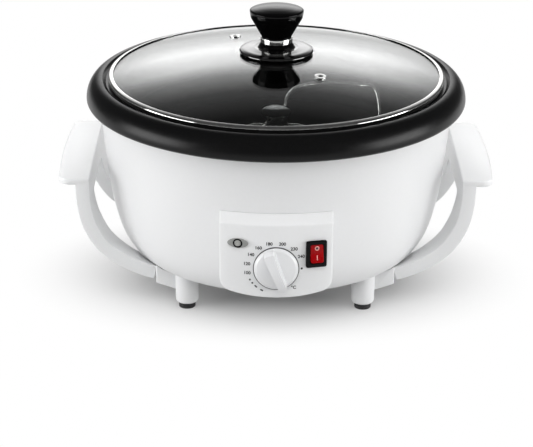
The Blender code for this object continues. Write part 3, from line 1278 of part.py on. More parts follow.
def make_lid_knob(bore):
    """Saucer, collar and knob above the glass; washer and screw below it."""
    rim_inner = SAUCER_RADIUS - SAUCER_RIM_HEIGHT
    rim_bottom = dome_z(rim_inner) + GAP
    rim_top = rim_bottom + SAUCER_RIM_HEIGHT
    saucer_profile = [
        (bore, SAUCER_TOP_Z),
        (COLLAR_RADIUS, SAUCER_TOP_Z),
        (SAUCER_SHOULDER_RADIUS, SAUCER_TOP_Z - SAUCER_RECESS),
        ((SAUCER_SHOULDER_RADIUS + SAUCER_RADIUS) / 2, (SAUCER_TOP_Z + rim_top) / 2 - SAUCER_RECESS / 2),
        (SAUCER_RADIUS - SAUCER_EDGE_ROUND, rim_top),
        (SAUCER_RADIUS, rim_top - SAUCER_EDGE_ROUND),
        (SAUCER_RADIUS, rim_bottom),
        (rim_inner, rim_bottom),
        (rim_inner, rim_bottom + SAUCER_RECESS),
        (COLLAR_RADIUS, SAUCER_BOTTOM_Z + SAUCER_RECESS),
        (COLLAR_RADIUS, SAUCER_BOTTOM_Z),
        (bore, SAUCER_BOTTOM_Z),
    ]
    saucer = turned("saucer", saucer_profile, lid_frame, MEDIUM_STEPS, closed=True)
    as_part(saucer, "lid_knob_base", "polished_steel")
    round_over = COLLAR_EDGE_ROUND
    collar_profile = [
        (bore, COLLAR_TOP_Z),
        (COLLAR_RADIUS - round_over, COLLAR_TOP_Z),
        (COLLAR_RADIUS, COLLAR_TOP_Z - round_over),
        (COLLAR_RADIUS, COLLAR_BOTTOM_Z + round_over),
        (COLLAR_RADIUS - round_over, COLLAR_BOTTOM_Z),
        (bore, COLLAR_BOTTOM_Z),
    ]
    collar = turned("collar", collar_profile, lid_frame, MEDIUM_STEPS, closed=True)
    as_part(collar, "lid_knob_collar", "polished_steel")
    knob_bore_top = LID_KNOB_BOTTOM_Z + LID_SCREW_GRIP + GAP
    side = [
        (LID_KNOB_RADIUS * wide, LID_KNOB_BOTTOM_Z + LID_KNOB_HEIGHT * high)
        for wide, high in zip(LID_KNOB_RADIUS_SHARES, LID_KNOB_HEIGHT_SHARES)
    ]
    inside = [(bore, LID_KNOB_BOTTOM_Z), (bore, knob_bore_top), (0.0, knob_bore_top)]
    knob = turned("lid_knob_form", side + inside, lid_frame, MEDIUM_STEPS)
    as_part(knob, "lid_knob", "black_phenolic")
    washer_top = dome_z(WASHER_RADIUS) - LID_GLASS_THICKNESS - GAP
    washer_bottom = washer_top - WASHER_THICKNESS
    washer_profile = [
        (bore, washer_top),
        (WASHER_RADIUS, washer_top),
        (WASHER_RADIUS, washer_bottom),
        (bore, washer_bottom),
    ]
    washer = turned("washer", washer_profile, lid_frame, SMALL_STEPS, closed=True)
    as_part(washer, "lid_knob_washer", "black_rubber")
    head_top = washer_bottom - GAP
    length = LID_KNOB_BOTTOM_Z + LID_SCREW_GRIP - head_top
    size = (LID_SCREW_HEAD_RADIUS, LID_SCREW_HEAD_HEIGHT, LID_SCREW_RADIUS, length)
    screw = screw_from_below("lid_screw", *size, head_top, (0.0, 0.0), lid_frame)
    as_part(screw, "lid_knob_screw", "polished_steel")


# Stirrer


def wire_route():
    """One stirring loop: out along the pan's floor, up at the wall and curling back above."""
    low = PAN_FLOOR_Z + WIRE_FLOOR_GAP + WIRE_RADIUS
    hub_low = HUB_BOTTOM_Z + WIRE_RADIUS + SINK
    hub_high = HUB_TOP_Z - WIRE_RADIUS - SINK
    high = low + WIRE_UPPER_RISE
    lower = (WIRE_LOWER_RADIUS_SHARES, WIRE_LOWER_TURN_SHARES, hub_low, low)
    upper = (WIRE_UPPER_RADIUS_SHARES, WIRE_UPPER_TURN_SHARES, hub_high, high)
    route = []
    for radius_shares, turn_shares, hub_z, outer_z in (lower, upper):
        for radius, turn in zip(radius_shares, turn_shares):
            settle = min(1.0, max(0.0, (radius - WIRE_SETTLE_START_SHARE) / WIRE_SETTLE_SPAN_SHARE))
            route.append((radius * WIRE_REACH, turn * WIRE_SWEEP, hub_z + (outer_z - hub_z) * settle))
    spots = [(radius * cos(turn), radius * sin(turn), z) for radius, turn, z in route]
    return [Vector((x, y, max(z, low))) for x, y, z in smooth_through(spots, 2)]


def make_stirrer():
    bottom = MOTOR_SHAFT_TOP_Z + GAP
    top = HUB_TOP_Z + CAP_NUT_BORE_DEPTH
    spindle = cylinder("spindle", SPINDLE_RADIUS, bottom, top, stirrer_frame, steps=SMALL_STEPS)
    as_part(spindle, "stirrer_spindle", "stirrer_steel")
    bore = SPINDLE_RADIUS + GAP
    round_over = SINK
    hub_profile = [
        (bore, HUB_TOP_Z),
        (HUB_RADIUS - round_over, HUB_TOP_Z),
        (HUB_RADIUS, HUB_TOP_Z - round_over),
        (HUB_RADIUS, HUB_BOTTOM_Z + round_over),
        (HUB_RADIUS - round_over, HUB_BOTTOM_Z),
        (bore, HUB_BOTTOM_Z),
    ]
    hub = turned("hub", hub_profile, stirrer_frame, MEDIUM_STEPS, closed=True)
    route = wire_route()
    sockets = []
    for index, turn in enumerate((0.0, pi)):
        spin = Matrix.Rotation(turn, 3, "Z")
        spots = [spin @ spot for spot in route]
        arm = curve_to_mesh(wire("arm", spots, WIRE_RADIUS, stirrer_frame))
        as_part(arm, f"stirrer_arm_{index + 1}", "stirrer_steel")
        for end, next_spot in ((spots[0], spots[1]), (spots[-1], spots[-2])):
            along = (next_spot - end).normalized() * HUB_RADIUS
            inside = end - (next_spot - end).normalized() * GAP
            socket = wire("socket", [inside, end + along], WIRE_RADIUS + GAP, stirrer_frame)
            sockets.append(curve_to_mesh(socket))
    cut(hub, grouped("wire_sockets", sockets, stirrer_frame))
    as_part(hub, "stirrer_hub", "stirrer_steel")
    nut_bottom = HUB_TOP_Z + GAP
    nut_bore_top = top + GAP
    nut_profile = [
        (CAP_NUT_RADIUS * wide, nut_bottom + CAP_NUT_HEIGHT * high)
        for wide, high in zip(CAP_NUT_RADIUS_SHARES, CAP_NUT_HEIGHT_SHARES)
    ]
    nut_profile += [(bore, nut_bottom), (bore, nut_bore_top), (0.0, nut_bore_top)]
    nut = turned("cap_nut", nut_profile, stirrer_frame, MEDIUM_STEPS)
    as_part(nut, "stirrer_cap_nut", "black_phenolic")
    coupling_bottom = MOTOR_TOP_Z + MOTOR_BOSS_HEIGHT + RUNNING_GAP
    coupling_top = coupling_bottom + COUPLING_HEIGHT
    coupling_profile = [
        (bore, coupling_top),
        (COUPLING_RADIUS, coupling_top),
        (COUPLING_RADIUS, coupling_bottom),
        (bore, coupling_bottom),
    ]
    coupling = turned("coupling", coupling_profile, stirrer_frame, SMALL_STEPS, closed=True)
    as_part(coupling, "shaft_coupling", "brass")


def make_bushing(parent):
    """Brass bushing in the pan's boss that the spindle turns in."""
    inner = SPINDLE_RADIUS + RUNNING_GAP
    outer = inner + BUSHING_WALL
    top = BUSHING_TOP_Z
    profile = [
        (inner, top),
        (BUSHING_FLANGE_RADIUS, top),
        (BUSHING_FLANGE_RADIUS, top - BUSHING_FLANGE_THICKNESS),
        (outer, top - BUSHING_FLANGE_THICKNESS),
        (outer, PAN_UNDERSIDE_Z - BUSHING_TAIL),
        (inner, PAN_UNDERSIDE_Z - BUSHING_TAIL),
    ]
    bushing = turned("bushing", profile, parent, SMALL_STEPS, closed=True)
    as_part(bushing, "spindle_bushing", "brass")


# Drive and heating


def make_motor(parent):
    boss_top = MOTOR_TOP_Z + MOTOR_BOSS_HEIGHT
    bore = MOTOR_SHAFT_RADIUS + RUNNING_GAP
    socket_bottom = MOTOR_TOP_Z - MOTOR_HEIGHT / 2
    profile = [
        (bore, boss_top),
        (MOTOR_BOSS_RADIUS, boss_top),
        (MOTOR_BOSS_RADIUS, MOTOR_TOP_Z),
        (MOTOR_RADIUS, MOTOR_TOP_Z),
        (MOTOR_RADIUS, MOTOR_BOTTOM_Z),
        (0.0, MOTOR_BOTTOM_Z),
        (0.0, socket_bottom),
        (bore, socket_bottom),
        (bore, boss_top),
    ]
    motor = turned("motor_can", profile, parent, MEDIUM_STEPS)
    ear_low = (-MOTOR_EAR_X - MOTOR_EAR_RADIUS, -MOTOR_EAR_RADIUS, MOTOR_TOP_Z - MOTOR_EAR_THICKNESS)
    ear_high = (-MOTOR_RADIUS + MOTOR_EAR_THICKNESS, MOTOR_EAR_RADIUS, MOTOR_TOP_Z)
    fuse(motor, mirrored(box("motor_ears", ear_low, ear_high, parent)))
    hole_radius = SMALL_SCREW_RADIUS + GAP
    hole_top = MOTOR_TOP_Z + OVERRUN
    ear_spot = (MOTOR_EAR_X, 0.0)
    hole = cylinder("ear_hole", hole_radius, MOTOR_BOTTOM_Z, hole_top, parent, ear_spot, TINY_STEPS)
    cut(motor, mirrored(hole))
    as_part(motor, "gear_motor", "zinc_plated_steel")
    shaft_bottom = socket_bottom + RUNNING_GAP
    shaft = cylinder("output_shaft", MOTOR_SHAFT_RADIUS, shaft_bottom, MOTOR_SHAFT_TOP_Z, stirrer_frame)
    as_part(shaft, "motor_shaft", "zinc_plated_steel")
    as_part(make_bracket(parent), "motor_bracket", "zinc_plated_steel")
    size = (SMALL_SCREW_HEAD_RADIUS, SMALL_SCREW_HEAD_HEIGHT, SMALL_SCREW_RADIUS, SMALL_SCREW_LENGTH)
    seat = MOTOR_TOP_Z - MOTOR_EAR_THICKNESS - GAP
    for place_name, side in SIDES.items():
        screw = screw_from_below("screw", *size, seat, (side * MOTOR_EAR_X, 0.0), parent)
        as_part(screw, "motor_screw_" + place_name, "zinc_plated_steel")


def bracket_outline():
    """The bracket's strip seen from the front: a bridge with feet turned out."""
    foot_z = TRAY_TOP_Z + GAP
    span = BRACKET_HALF_SPAN
    sheet = BRACKET_THICKNESS
    top = BRACKET_TOP_Z
    foot_end = span + BRACKET_FOOT
    half_outer = [(foot_end, foot_z), (foot_end, foot_z + sheet), (span, foot_z + sheet), (span, top)]
    half_inner = [(span - sheet, foot_z), (span - sheet, top - sheet)]
    left = [(-x, z) for x, z in half_outer[::-1]]
    inner_left = [(-x, z) for x, z in half_inner]
    return half_outer + left + inner_left + half_inner[::-1]


def make_bracket(parent):
    """Bent steel bridge that carries the motor above the bottom tray."""
    half_width = BRACKET_WIDTH / 2
    bracket = upright_outline("bracket_strip", bracket_outline(), -half_width, half_width, parent)
    boss_hole_radius = MOTOR_BOSS_RADIUS + GAP
    hole_low = MOTOR_TOP_Z - OVERRUN
    hole_high = BRACKET_TOP_Z + OVERRUN
    cut(bracket, cylinder("boss_hole", boss_hole_radius, hole_low, hole_high, parent, steps=MEDIUM_STEPS))
    hole_radius = SMALL_SCREW_RADIUS + GAP
    hole = cylinder("bracket_hole", hole_radius, hole_low, hole_high, parent, (MOTOR_EAR_X, 0.0), TINY_STEPS)
    return cut(bracket, mirrored(hole))


def make_shield(parent):
    """Dished sheet above the motor that keeps the heat up under the pan."""
    rim_radius = SHIELD_RADIUS - SHIELD_RIM_HEIGHT
    profile = [
        (SHIELD_BORE_RADIUS, SHIELD_BOTTOM_Z + SHIELD_SHEET),
        (rim_radius, SHIELD_BOTTOM_Z + SHIELD_SHEET),
        (SHIELD_RADIUS, SHIELD_BOTTOM_Z + SHIELD_SHEET + SHIELD_RIM_HEIGHT),
    ]
    shield = turned_sheet("shield_sheet", profile, SHIELD_SHEET, parent, MEDIUM_STEPS)
    as_part(shield, "heat_shield", "bright_aluminium")


def make_heater(parent):
    """Tubular heater ring held against the pan's underside by sheet clips."""
    height = PAN_UNDERSIDE_Z - GAP - HEATER_TUBE_RADIUS
    start = HEATER_GAP_ANGLE - pi / 2
    sweep = 2 * pi - 2 * HEATER_GAP_ANGLE
    bends = [start + sweep * index / HEATER_SAMPLES for index in range(HEATER_SAMPLES + 1)]
    ring = [(HEATER_RADIUS * cos(turn), HEATER_RADIUS * sin(turn), height) for turn in bends]
    for spot, at_end in ((ring[0], False), (ring[-1], True)):
        corner = (spot[0], spot[1], height - HEATER_TUBE_RADIUS)
        tail = (spot[0], spot[1], height - HEATER_TUBE_RADIUS - HEATER_TAIL)
        ring = ring + [corner, tail] if at_end else [tail, corner] + ring
    heater = curve_to_mesh(wire("heater_tube", ring, HEATER_TUBE_RADIUS, parent))
    as_part(heater, "heater_ring", "heater_steel")
    for index in range(CLIP_COUNT):
        turn = 2 * pi * (index + CLIP_PHASE_SHARE) / CLIP_COUNT
        clip_frame = empty_at(f"clip_frame_{index + 1}", parent, (0.0, 0.0, 0.0), (0.0, 0.0, turn))
        clip = upright_outline("clip", clip_outline(), -CLIP_WIDTH / 2, CLIP_WIDTH / 2, clip_frame)
        as_part(clip, f"heater_clip_{index + 1}", "zinc_plated_steel")
    fuse_z = PAN_UNDERSIDE_Z - GAP - FUSE_RADIUS
    fuse_body = cylinder("fuse", FUSE_RADIUS, -FUSE_LENGTH / 2, FUSE_LENGTH / 2, parent, steps=TINY_STEPS)
    fuse_body.rotation_euler = (pi / 2, 0.0, 0.0)
    fuse_body.location = (FUSE_X, 0.0, fuse_z)
    as_part(fuse_body, "thermal_fuse", "fuse_white")


def clip_outline():
    """Section across the heater tube of a clip that hugs it from below."""
    top = PAN_UNDERSIDE_Z - GAP
    inner = HEATER_TUBE_RADIUS + CLIP_CLEARANCE
    outer = inner + CLIP_SHEET
    centre_z = top - HEATER_TUBE_RADIUS
    foot = HEATER_RADIUS + outer + CLIP_FOOT
    other_foot = HEATER_RADIUS - outer - CLIP_FOOT
    under = arc((HEATER_RADIUS, centre_z), outer, 0.0, -pi, 6)
    inside = arc((HEATER_RADIUS, centre_z), inner, -pi, 0.0, 6)
    sheet_z = top - CLIP_SHEET
    outline = [(foot, top), (foot, sheet_z), (HEATER_RADIUS + outer, sheet_z)] + under
    outline += [(HEATER_RADIUS - outer, sheet_z), (other_foot, sheet_z), (other_foot, top)]
    outline += [(HEATER_RADIUS - inner, top)] + inside + [(HEATER_RADIUS + inner, top)]
    return outline


def make_terminal_block(parent):
    """Screw terminals on the bottom tray where the mains lead would end."""
    bottom = TRAY_TOP_Z + GAP
    low = (-TERMINAL_WIDTH / 2, TERMINAL_Y - TERMINAL_DEPTH / 2, bottom)
    high = (TERMINAL_WIDTH / 2, TERMINAL_Y + TERMINAL_DEPTH / 2, bottom + TERMINAL_HEIGHT)
    block = box("terminals", low, high, parent)
    pitch = TERMINAL_WIDTH / TERMINAL_POLES
    top = bottom + TERMINAL_HEIGHT
    well_bottom = bottom + TERMINAL_HEIGHT / 2
    well_radius = TERMINAL_WELL_RADIUS
    wells = []
    for index in range(TERMINAL_POLES):
        x = (index - (TERMINAL_POLES - 1) / 2) * pitch
        well = cylinder("well", well_radius, well_bottom, top + OVERRUN, parent, (x, TERMINAL_Y), TINY_STEPS)
        wells.append(well)
    cut(block, grouped("terminal_wells", wells, parent))
    as_part(block, "terminal_block", "terminal_white")


def make_gland():
    """Bushing for the mains lead, square to the bowl's wall."""
    profile = [
        (GLAND_BORE_RADIUS, GLAND_FLANGE_THICKNESS),
        (GLAND_FLANGE_RADIUS - GLAND_EDGE_ROUND, GLAND_FLANGE_THICKNESS),
        (GLAND_FLANGE_RADIUS, GLAND_FLANGE_THICKNESS - GLAND_EDGE_ROUND),
        (GLAND_FLANGE_RADIUS, GLAND_STAND_OFF),
        (GLAND_RADIUS, GLAND_STAND_OFF),
        (GLAND_RADIUS, -SHELL_WALL - GLAND_INNER_LENGTH),
        (GLAND_BORE_RADIUS, -SHELL_WALL - GLAND_INNER_LENGTH),
    ]
    gland = turned("gland", profile, gland_frame, SMALL_STEPS, closed=True)
    as_part(gland, "cord_gland", "black_plastic")


def shell_lean(z):
    """How far the bowl's wall leans out from upright at a height, as an angle."""
    upper = shell_radius(z + GLAND_RADIUS)
    lower = shell_radius(z - GLAND_RADIUS)
    return atan2(upper - lower, 2 * GLAND_RADIUS)


clear_scene()
parts = new_collection("coffee_bean_roaster")
cutters = new_collection("cutters")

roaster = empty_at("roaster_axis", None, (0.0, PAN_AXIS_Y, 0.0))
lid_frame = empty_at("lid_lift_axis", roaster, (0.0, 0.0, 0.0))
stirrer_frame = empty_at("stirrer_axis", roaster, (0.0, 0.0, 0.0))
dial_frame = panel_frame("dial_frame", 0.0, DIAL_Z, roaster)
dial_axis = empty_at("dial_axis", dial_frame, (0.0, 0.0, 0.0), (pi / 2, 0.0, 0.0))
dial_turn = empty_at("dial_turn_axis", dial_axis, (0.0, 0.0, 0.0), (0.0, 0.0, -KNOB_OFF_ANGLE))
switch_frame = panel_frame("switch_frame", SWITCH_X, SWITCH_Z, roaster)
rocker_axis = empty_at("rocker_axis", switch_frame, (0.0, ROCKER_PIVOT_DEPTH, 0.0))
rocker_rest = empty_at("rocker_rest", rocker_axis, (0.0, 0.0, 0.0), (-ROCKER_TILT, 0.0, 0.0))
lamp_frame = panel_frame("lamp_frame", LAMP_X, LAMP_Z, roaster)
lamp_axis = empty_at("lamp_axis", lamp_frame, (0.0, 0.0, 0.0), (pi / 2, 0.0, 0.0))
gland_spot = (0.0, shell_radius(GLAND_Z), GLAND_Z)
gland_frame = empty_at("gland_frame", roaster, gland_spot, (-pi / 2 - shell_lean(GLAND_Z), 0.0, 0.0))

make_pan(roaster)
make_shell(roaster)
make_tray(roaster)
make_feet(roaster)
make_base_screws(roaster)
make_handle("right_handle", 1, roaster)
make_handle("left_handle", -1, roaster)
make_panel(roaster)
make_thermostat(roaster)
make_dial_knob()
make_switch()
make_lamp()
make_lid()
make_stirrer()
make_bushing(roaster)
make_motor(roaster)
make_shield(roaster)
make_heater(roaster)
make_terminal_block(roaster)
make_gland()
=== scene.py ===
"""Looks of the home coffee bean roaster: smooth surfaces, printed dial, glass, finishes and studio."""

import json
from math import asin, atan2, cos, hypot, pi, radians, sin, sqrt

import bmesh
import bpy
from mathutils import Matrix, Vector


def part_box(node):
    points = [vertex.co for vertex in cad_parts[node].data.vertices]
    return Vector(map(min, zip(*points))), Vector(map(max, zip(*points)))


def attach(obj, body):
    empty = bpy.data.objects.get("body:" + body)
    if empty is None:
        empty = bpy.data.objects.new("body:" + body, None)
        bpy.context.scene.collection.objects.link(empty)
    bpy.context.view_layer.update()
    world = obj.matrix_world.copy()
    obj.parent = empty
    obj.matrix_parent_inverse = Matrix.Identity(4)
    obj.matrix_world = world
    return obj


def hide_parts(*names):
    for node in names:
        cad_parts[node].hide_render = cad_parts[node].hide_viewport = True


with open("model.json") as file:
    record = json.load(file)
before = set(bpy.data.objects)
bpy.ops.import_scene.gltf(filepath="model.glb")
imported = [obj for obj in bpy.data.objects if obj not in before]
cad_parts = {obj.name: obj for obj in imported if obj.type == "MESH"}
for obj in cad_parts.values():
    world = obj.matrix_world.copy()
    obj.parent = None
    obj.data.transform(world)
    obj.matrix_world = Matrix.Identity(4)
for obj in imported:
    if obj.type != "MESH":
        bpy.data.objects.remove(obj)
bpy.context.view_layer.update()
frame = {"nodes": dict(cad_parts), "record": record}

# Units
MM = 0.001

# Fineness of the smooth surfaces
LARGE_STEPS = 192
MEDIUM_STEPS = 96
SMALL_STEPS = 48
FILLET_STEPS = 5
SHARP_ANGLE = radians(38)
GAP = 0.3 * MM
TINY = 1e-6

# Camera, fitted to the photograph
CAMERA_PLACE = (-11.42 * MM, -1448.9 * MM, 655.79 * MM)
CAMERA_PITCH = 0.3978
CAMERA_YAW = -0.0028
CAMERA_ROLL = 0.0068
CAMERA_LENS = 121.95
SENSOR_WIDTH = 36.0

PAN_LOW, PAN_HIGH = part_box("roasting_pan")
AXIS_Y = (PAN_LOW[1] + PAN_HIGH[1]) / 2

# Pan
PAN_WALL = 2.0 * MM
PAN_FLOOR_Z = 121.0 * MM
PAN_FLOOR_RADIUS = 118.0 * MM
PAN_STEP_RADIUS = 121.5 * MM
PAN_STEP_Z = 145.0 * MM
PAN_STEP_WIDTH = 1.5 * MM
PAN_STEP_RISE = 1.0 * MM
PAN_MOUTH_RADIUS = 139.0 * MM
LID_SEAT_RADIUS = 143.5 * MM
LID_SEAT_Z = 178.0 * MM
LIP_RADIUS = 146.5 * MM
LIP_Z = 180.8 * MM
FLANGE_RADIUS = 160.0 * MM
FLANGE_EDGE_Z = 164.6 * MM
ROLL_RADIUS = 3.5 * MM
ROLL_END = radians(-110)
PAN_BOSS_RADIUS = 8.5 * MM
PAN_BOSS_FOOT_RADIUS = 12.5 * MM
PAN_BOSS_Z = PAN_FLOOR_Z + 8.0 * MM
PAN_BORE_RADIUS = 5.8 * MM

# Bowl
SHELL_WALL = 2.5 * MM
SHELL_TOP_RADIUS = 148.9 * MM
SHELL_TOP_Z = 160.6 * MM
SHELL_BOTTOM_Z = 28.6 * MM
SHELL_RIM_RADIUS = 149.6 * MM
SHELL_LIP_RADIUS = 84.0 * MM
SHELL_RADIUS_SHARES = (0.685, 0.776, 0.842, 0.9006, 0.9443, 0.9730, 1.0)
SHELL_HEIGHT_SHARES = (0.0, 0.022, 0.0803, 0.200, 0.400, 0.650, 1.0)
BOWL_FOOT_ROUND = 1.0 * MM
RIM_GAP = 1.0 * MM
SHELL_BOSS_RADIUS = 4.8 * MM
SHELL_BOSS_TOP_Z = 41.8 * MM
WINDOW_HALF_WIDTH = 39.6 * MM
WINDOW_BOTTOM_Z = 55.0 * MM
WINDOW_TOP_Z = 98.2 * MM

# Tray, legs, feet
TRAY_RADIUS = 101.0 * MM
TRAY_TOP_Z = SHELL_BOTTOM_Z - GAP
TRAY_BOTTOM_Z = TRAY_TOP_Z - 3.0 * MM
LEG_X = 74.0 * MM
LEG_Y = 74.0 * MM
LEG_RADIUS = 9.7 * MM
LEG_TOP_Z = 40.0 * MM
LEG_FOOT_ROUND = 3.0 * MM
FOOT_HEIGHT = 5.0 * MM
FOOT_RADIUS = 7.0 * MM
FOOT_CUP_RADIUS = 5.0 * MM
FOOT_CUP_DEPTH = 0.8 * MM
STUD_RADIUS = 3.5 * MM
STUD_HEIGHT = 6.0 * MM
BLOCK_BOTTOM_Z = 15.0 * MM
BLOCK_END_Z = 20.7 * MM
BLOCK_START_X = 66.0 * MM
BLOCK_SLOPE_X = 83.6 * MM
BLOCK_END_X = 100.0 * MM
BLOCK_FRONT_Y = 73.5 * MM
BLOCK_BACK_Y = 50.0 * MM
TRAY_SCREW_REACH = 91.0 * MM
TRAY_SCREW_ANGLE = radians(12)
TRAY_SCREW_RADIUS = 2.0 * MM
TRAY_SCREW_HEAD_RADIUS = 3.8 * MM
TRAY_SCREW_HEAD_HEIGHT = 2.2 * MM
TRAY_SCREW_LENGTH = 14.0 * MM
SCREW_TIP_SHARE = 0.4
SCREW_CROWN_SHARE = 0.8
SCREW_TURN = 0.5
RECESS_ARM_SHARE = 0.62
RECESS_WIDTH_SHARE = 0.13
RECESS_DEPTH_SHARE = 0.55
VENT_COUNT = 12
VENT_WIDTH = 4.0 * MM
VENT_LENGTH = 18.0 * MM
VENT_REACH = 58.0 * MM
VENT_PHASE = 0.5

# Handles
HANDLE_HALF_WIDTH = 72.0 * MM
HANDLE_TOP_Z = 113.7 * MM
GRIP_THICKNESS = 5.8 * MM
GRIP_END_X = 179.5 * MM
GRIP_MIDDLE_X = 182.0 * MM
GRIP_CORNER_RADIUS = 9.5 * MM
GRIP_EDGE_ROUND = 1.5 * MM
GRIP_INNER_SINK = 0.05 * MM
GRIP_WALL = 4.5 * MM
GRIP_RECESS_ROUND = 2.5 * MM
ARM_THICKNESS = 11.4 * MM
ARM_TOP_X = 159.6 * MM
ARM_FOOT_Z = 29.4 * MM
ARM_REACH_SHARES = (1.0, 1.0, 0.980, 0.903, 0.720, 0.430, 0.150, 0.0)
ARM_RISE_SHARES = (1.0, 0.880, 0.690, 0.485, 0.275, 0.118, 0.028, 0.0)
ARM_FOOT_DEPTH = 20.0 * MM
ARM_TOP_DEPTH = 33.0 * MM
ARM_EDGE_ROUND = 1.8 * MM
ARM_TOP_SINK = 2.2 * MM
ARM_SIDE_SINK = 0.1 * MM
OPENING_TOP_Z = 91.0 * MM
OPENING_NARROW_Z = 76.0 * MM
OPENING_FOOT_Z = 36.0 * MM
OPENING_CORNER = 5.0 * MM
TONGUE_LENGTH = 13.0 * MM
TONGUE_WIDTH = 11.0 * MM
TONGUE_HEIGHT = 3.2 * MM
TONGUE_Z = 25.8 * MM
HANDLE_SCREW_X = BLOCK_END_X - TONGUE_LENGTH / 2
HANDLE_SCREW_Y = HANDLE_HALF_WIDTH - ARM_FOOT_DEPTH / 2
HANDLE_SCREW_RADIUS = 1.6 * MM
HANDLE_SCREW_HEAD_RADIUS = 3.2 * MM
HANDLE_SCREW_HEAD_HEIGHT = 2.0 * MM
HANDLE_SCREW_LENGTH = 5.0 * MM
HANDLE_SCREW_SEAT_Z = BLOCK_END_Z + 1.0 * MM

# Control panel
PANEL_RADIUS = 155.0 * MM
PANEL_HALF_WIDTH = 44.9 * MM
PANEL_TOP_Z = 113.7 * MM
PANEL_FACE_TOP_Z = 107.6 * MM
PANEL_TOP_RADIUS = 146.2 * MM
PANEL_BOTTOM_Z = 45.4 * MM
PANEL_WIDTH_SHARES = (0.0, 0.26, 0.52, 0.78, 0.902, 0.975, 1.0)
PANEL_RISE_SHARES = (0.0, 0.026, 0.107, 0.26, 0.40, 0.66, 1.0)
PANEL_SIDE_RISE = 13.8 * MM
PANEL_WALL = 3.0 * MM
PANEL_DEPTH = 45.0 * MM
PANEL_EDGE_ROUND = 1.3 * MM

# Dial and its print
DIAL_Z = 72.0 * MM
NECK_RADIUS = 4.5 * MM
SHAFT_RADIUS = 3.0 * MM
SHAFT_REACH = 12.0 * MM
KNOB_RADIUS = 18.0 * MM
KNOB_SKIRT = 2.2 * MM
KNOB_DOME_HEIGHT = 6.2 * MM
KNOB_DOME_RADIUS_SHARES = (0.0, 0.50, 0.833, 0.917, 1.0)
KNOB_DOME_RISE_SHARES = (1.0, 0.86, 0.56, 0.25, 0.0)
KNOB_GRIP_TAIL_WIDTH = 10.2 * MM
KNOB_GRIP_TIP_WIDTH = 7.4 * MM
KNOB_GRIP_HEIGHT = 16.5 * MM
KNOB_GRIP_LENGTH = 34.0 * MM
GRIP_DRAFT_SHARE = 0.22
GRIP_END_DRAFT_SHARE = 0.06
GRIP_CROWN = 4.5 * MM
GRIP_CROWN_REACH_SHARE = 1.2
KNOB_GRIP_SHOULDER_SHARE = 0.93
KNOB_GRIP_NOSE_SHARE = 1.06
KNOB_GRIP_CORNERS = (2.2, 2.2, 1.5, 0.6, 1.5)
KNOB_POCKET_RADIUS = 9.0 * MM
KNOB_POCKET_DEPTH = 3.4 * MM
KNOB_OFF_ANGLE = radians(158)
PRINT_THICKNESS = 0.06 * MM
PRINT_LIFT = 0.04 * MM
PRINT_WEIGHT = 0.115 * MM
CAPITAL_SHARE = 0.7
DIGIT_HEIGHT = 2.6 * MM
PRINT_CENTRE_X = -0.5 * MM
PRINT_CENTRE_Z = DIAL_Z - 0.9 * MM
PRINT_HALF_WIDTH = 22.9 * MM
PRINT_HALF_HEIGHT = 21.5 * MM
DIAL_NUMBERS = (
    ("100", 257.7), ("120", 278.6), ("140", 301.5), ("160", 323.7),
    ("180", 346.9), ("200", 13.6), ("230", 39.6), ("240", 62.6),
)
UNIT_ANGLE = 140.8
DOT_ANGLES = (232.6, 241.4)
DOT_RADIUS = 0.78 * MM
END_DOT_ANGLE = 91.1
END_DOT_SHARE = 0.908
END_DOT_RADIUS = 0.9 * MM
DASH_ANGLES = (208.1, 222.5)
DASH_LENGTH = 2.7 * MM
DASH_THICKNESS = 1.2 * MM
# A thin dark ring at the knob's skirt edge: painted shade for the shadow line of the gap round the knob
KNOB_SHADE_RING_RADIUS = 18.3 * MM
KNOB_SHADE_RING_WIDTH = 0.65 * MM
KNOB_SHADE_RING_HEIGHT = 0.7 * MM

# Switch
SWITCH_X = 31.8 * MM
SWITCH_Z = 83.0 * MM
BEZEL_WIDTH = 16.9 * MM
BEZEL_HEIGHT = 22.7 * MM
BEZEL_SHIFT = 0.35 * MM
BEZEL_CORNER = 2.0 * MM
BEZEL_PROUD = 2.2 * MM
SWITCH_BODY_WIDTH = 13.6 * MM
SWITCH_BODY_HEIGHT = 19.4 * MM
SWITCH_BODY_DEPTH = 16.0 * MM
POCKET_DEPTH = 9.0 * MM
ROCKER_WIDTH = 10.5 * MM
ROCKER_HALF_HEIGHT = 7.5 * MM
ROCKER_CORNER = 1.8 * MM
ROCKER_TILT = radians(9)
PIVOT_DEPTH = 1.5 * MM
ROCKER_CREST = 3.6 * MM
ROCKER_END_RISE = 4.6 * MM
ROCKER_ROOT = 2.0 * MM
ROCKER_ROOT_SHARE = 0.35
ROCKER_SHOULDER_SHARE = 0.96
ROCKER_FACE_POWER = 1.3
PIN_RADIUS = 1.0 * MM
PIN_REACH = ROCKER_WIDTH / 2 + 1.0 * MM
MARK_RING_RADIUS = 1.85 * MM
MARK_RING_STROKE = 0.8 * MM
MARK_BAR_WIDTH = 0.7 * MM
MARK_BAR_LENGTH = 3.9 * MM
MARK_OFF_Y = 4.4 * MM
MARK_ON_Y = -3.3 * MM
RUNNING_GAP = 0.4 * MM

# Lamp
LAMP_X = -30.1 * MM
LAMP_Z = 92.0 * MM
LAMP_PLATE_WIDTH = 16.9 * MM
LAMP_PLATE_HEIGHT = 8.0 * MM
LAMP_PLATE_PROUD = 1.4 * MM
LAMP_PLATE_POINT_SHARE = 0.86
LAMP_COLLAR_RADIUS = 3.8 * MM
LAMP_COLLAR_WALL = 1.1 * MM
LAMP_COLLAR_PROUD = 1.6 * MM
LAMP_LENS_PROUD = 1.9 * MM
LENS_DEPTH = 4.0 * MM
LAMP_STEM_RADIUS = 3.3 * MM
LAMP_STEM_DEPTH = 12.0 * MM

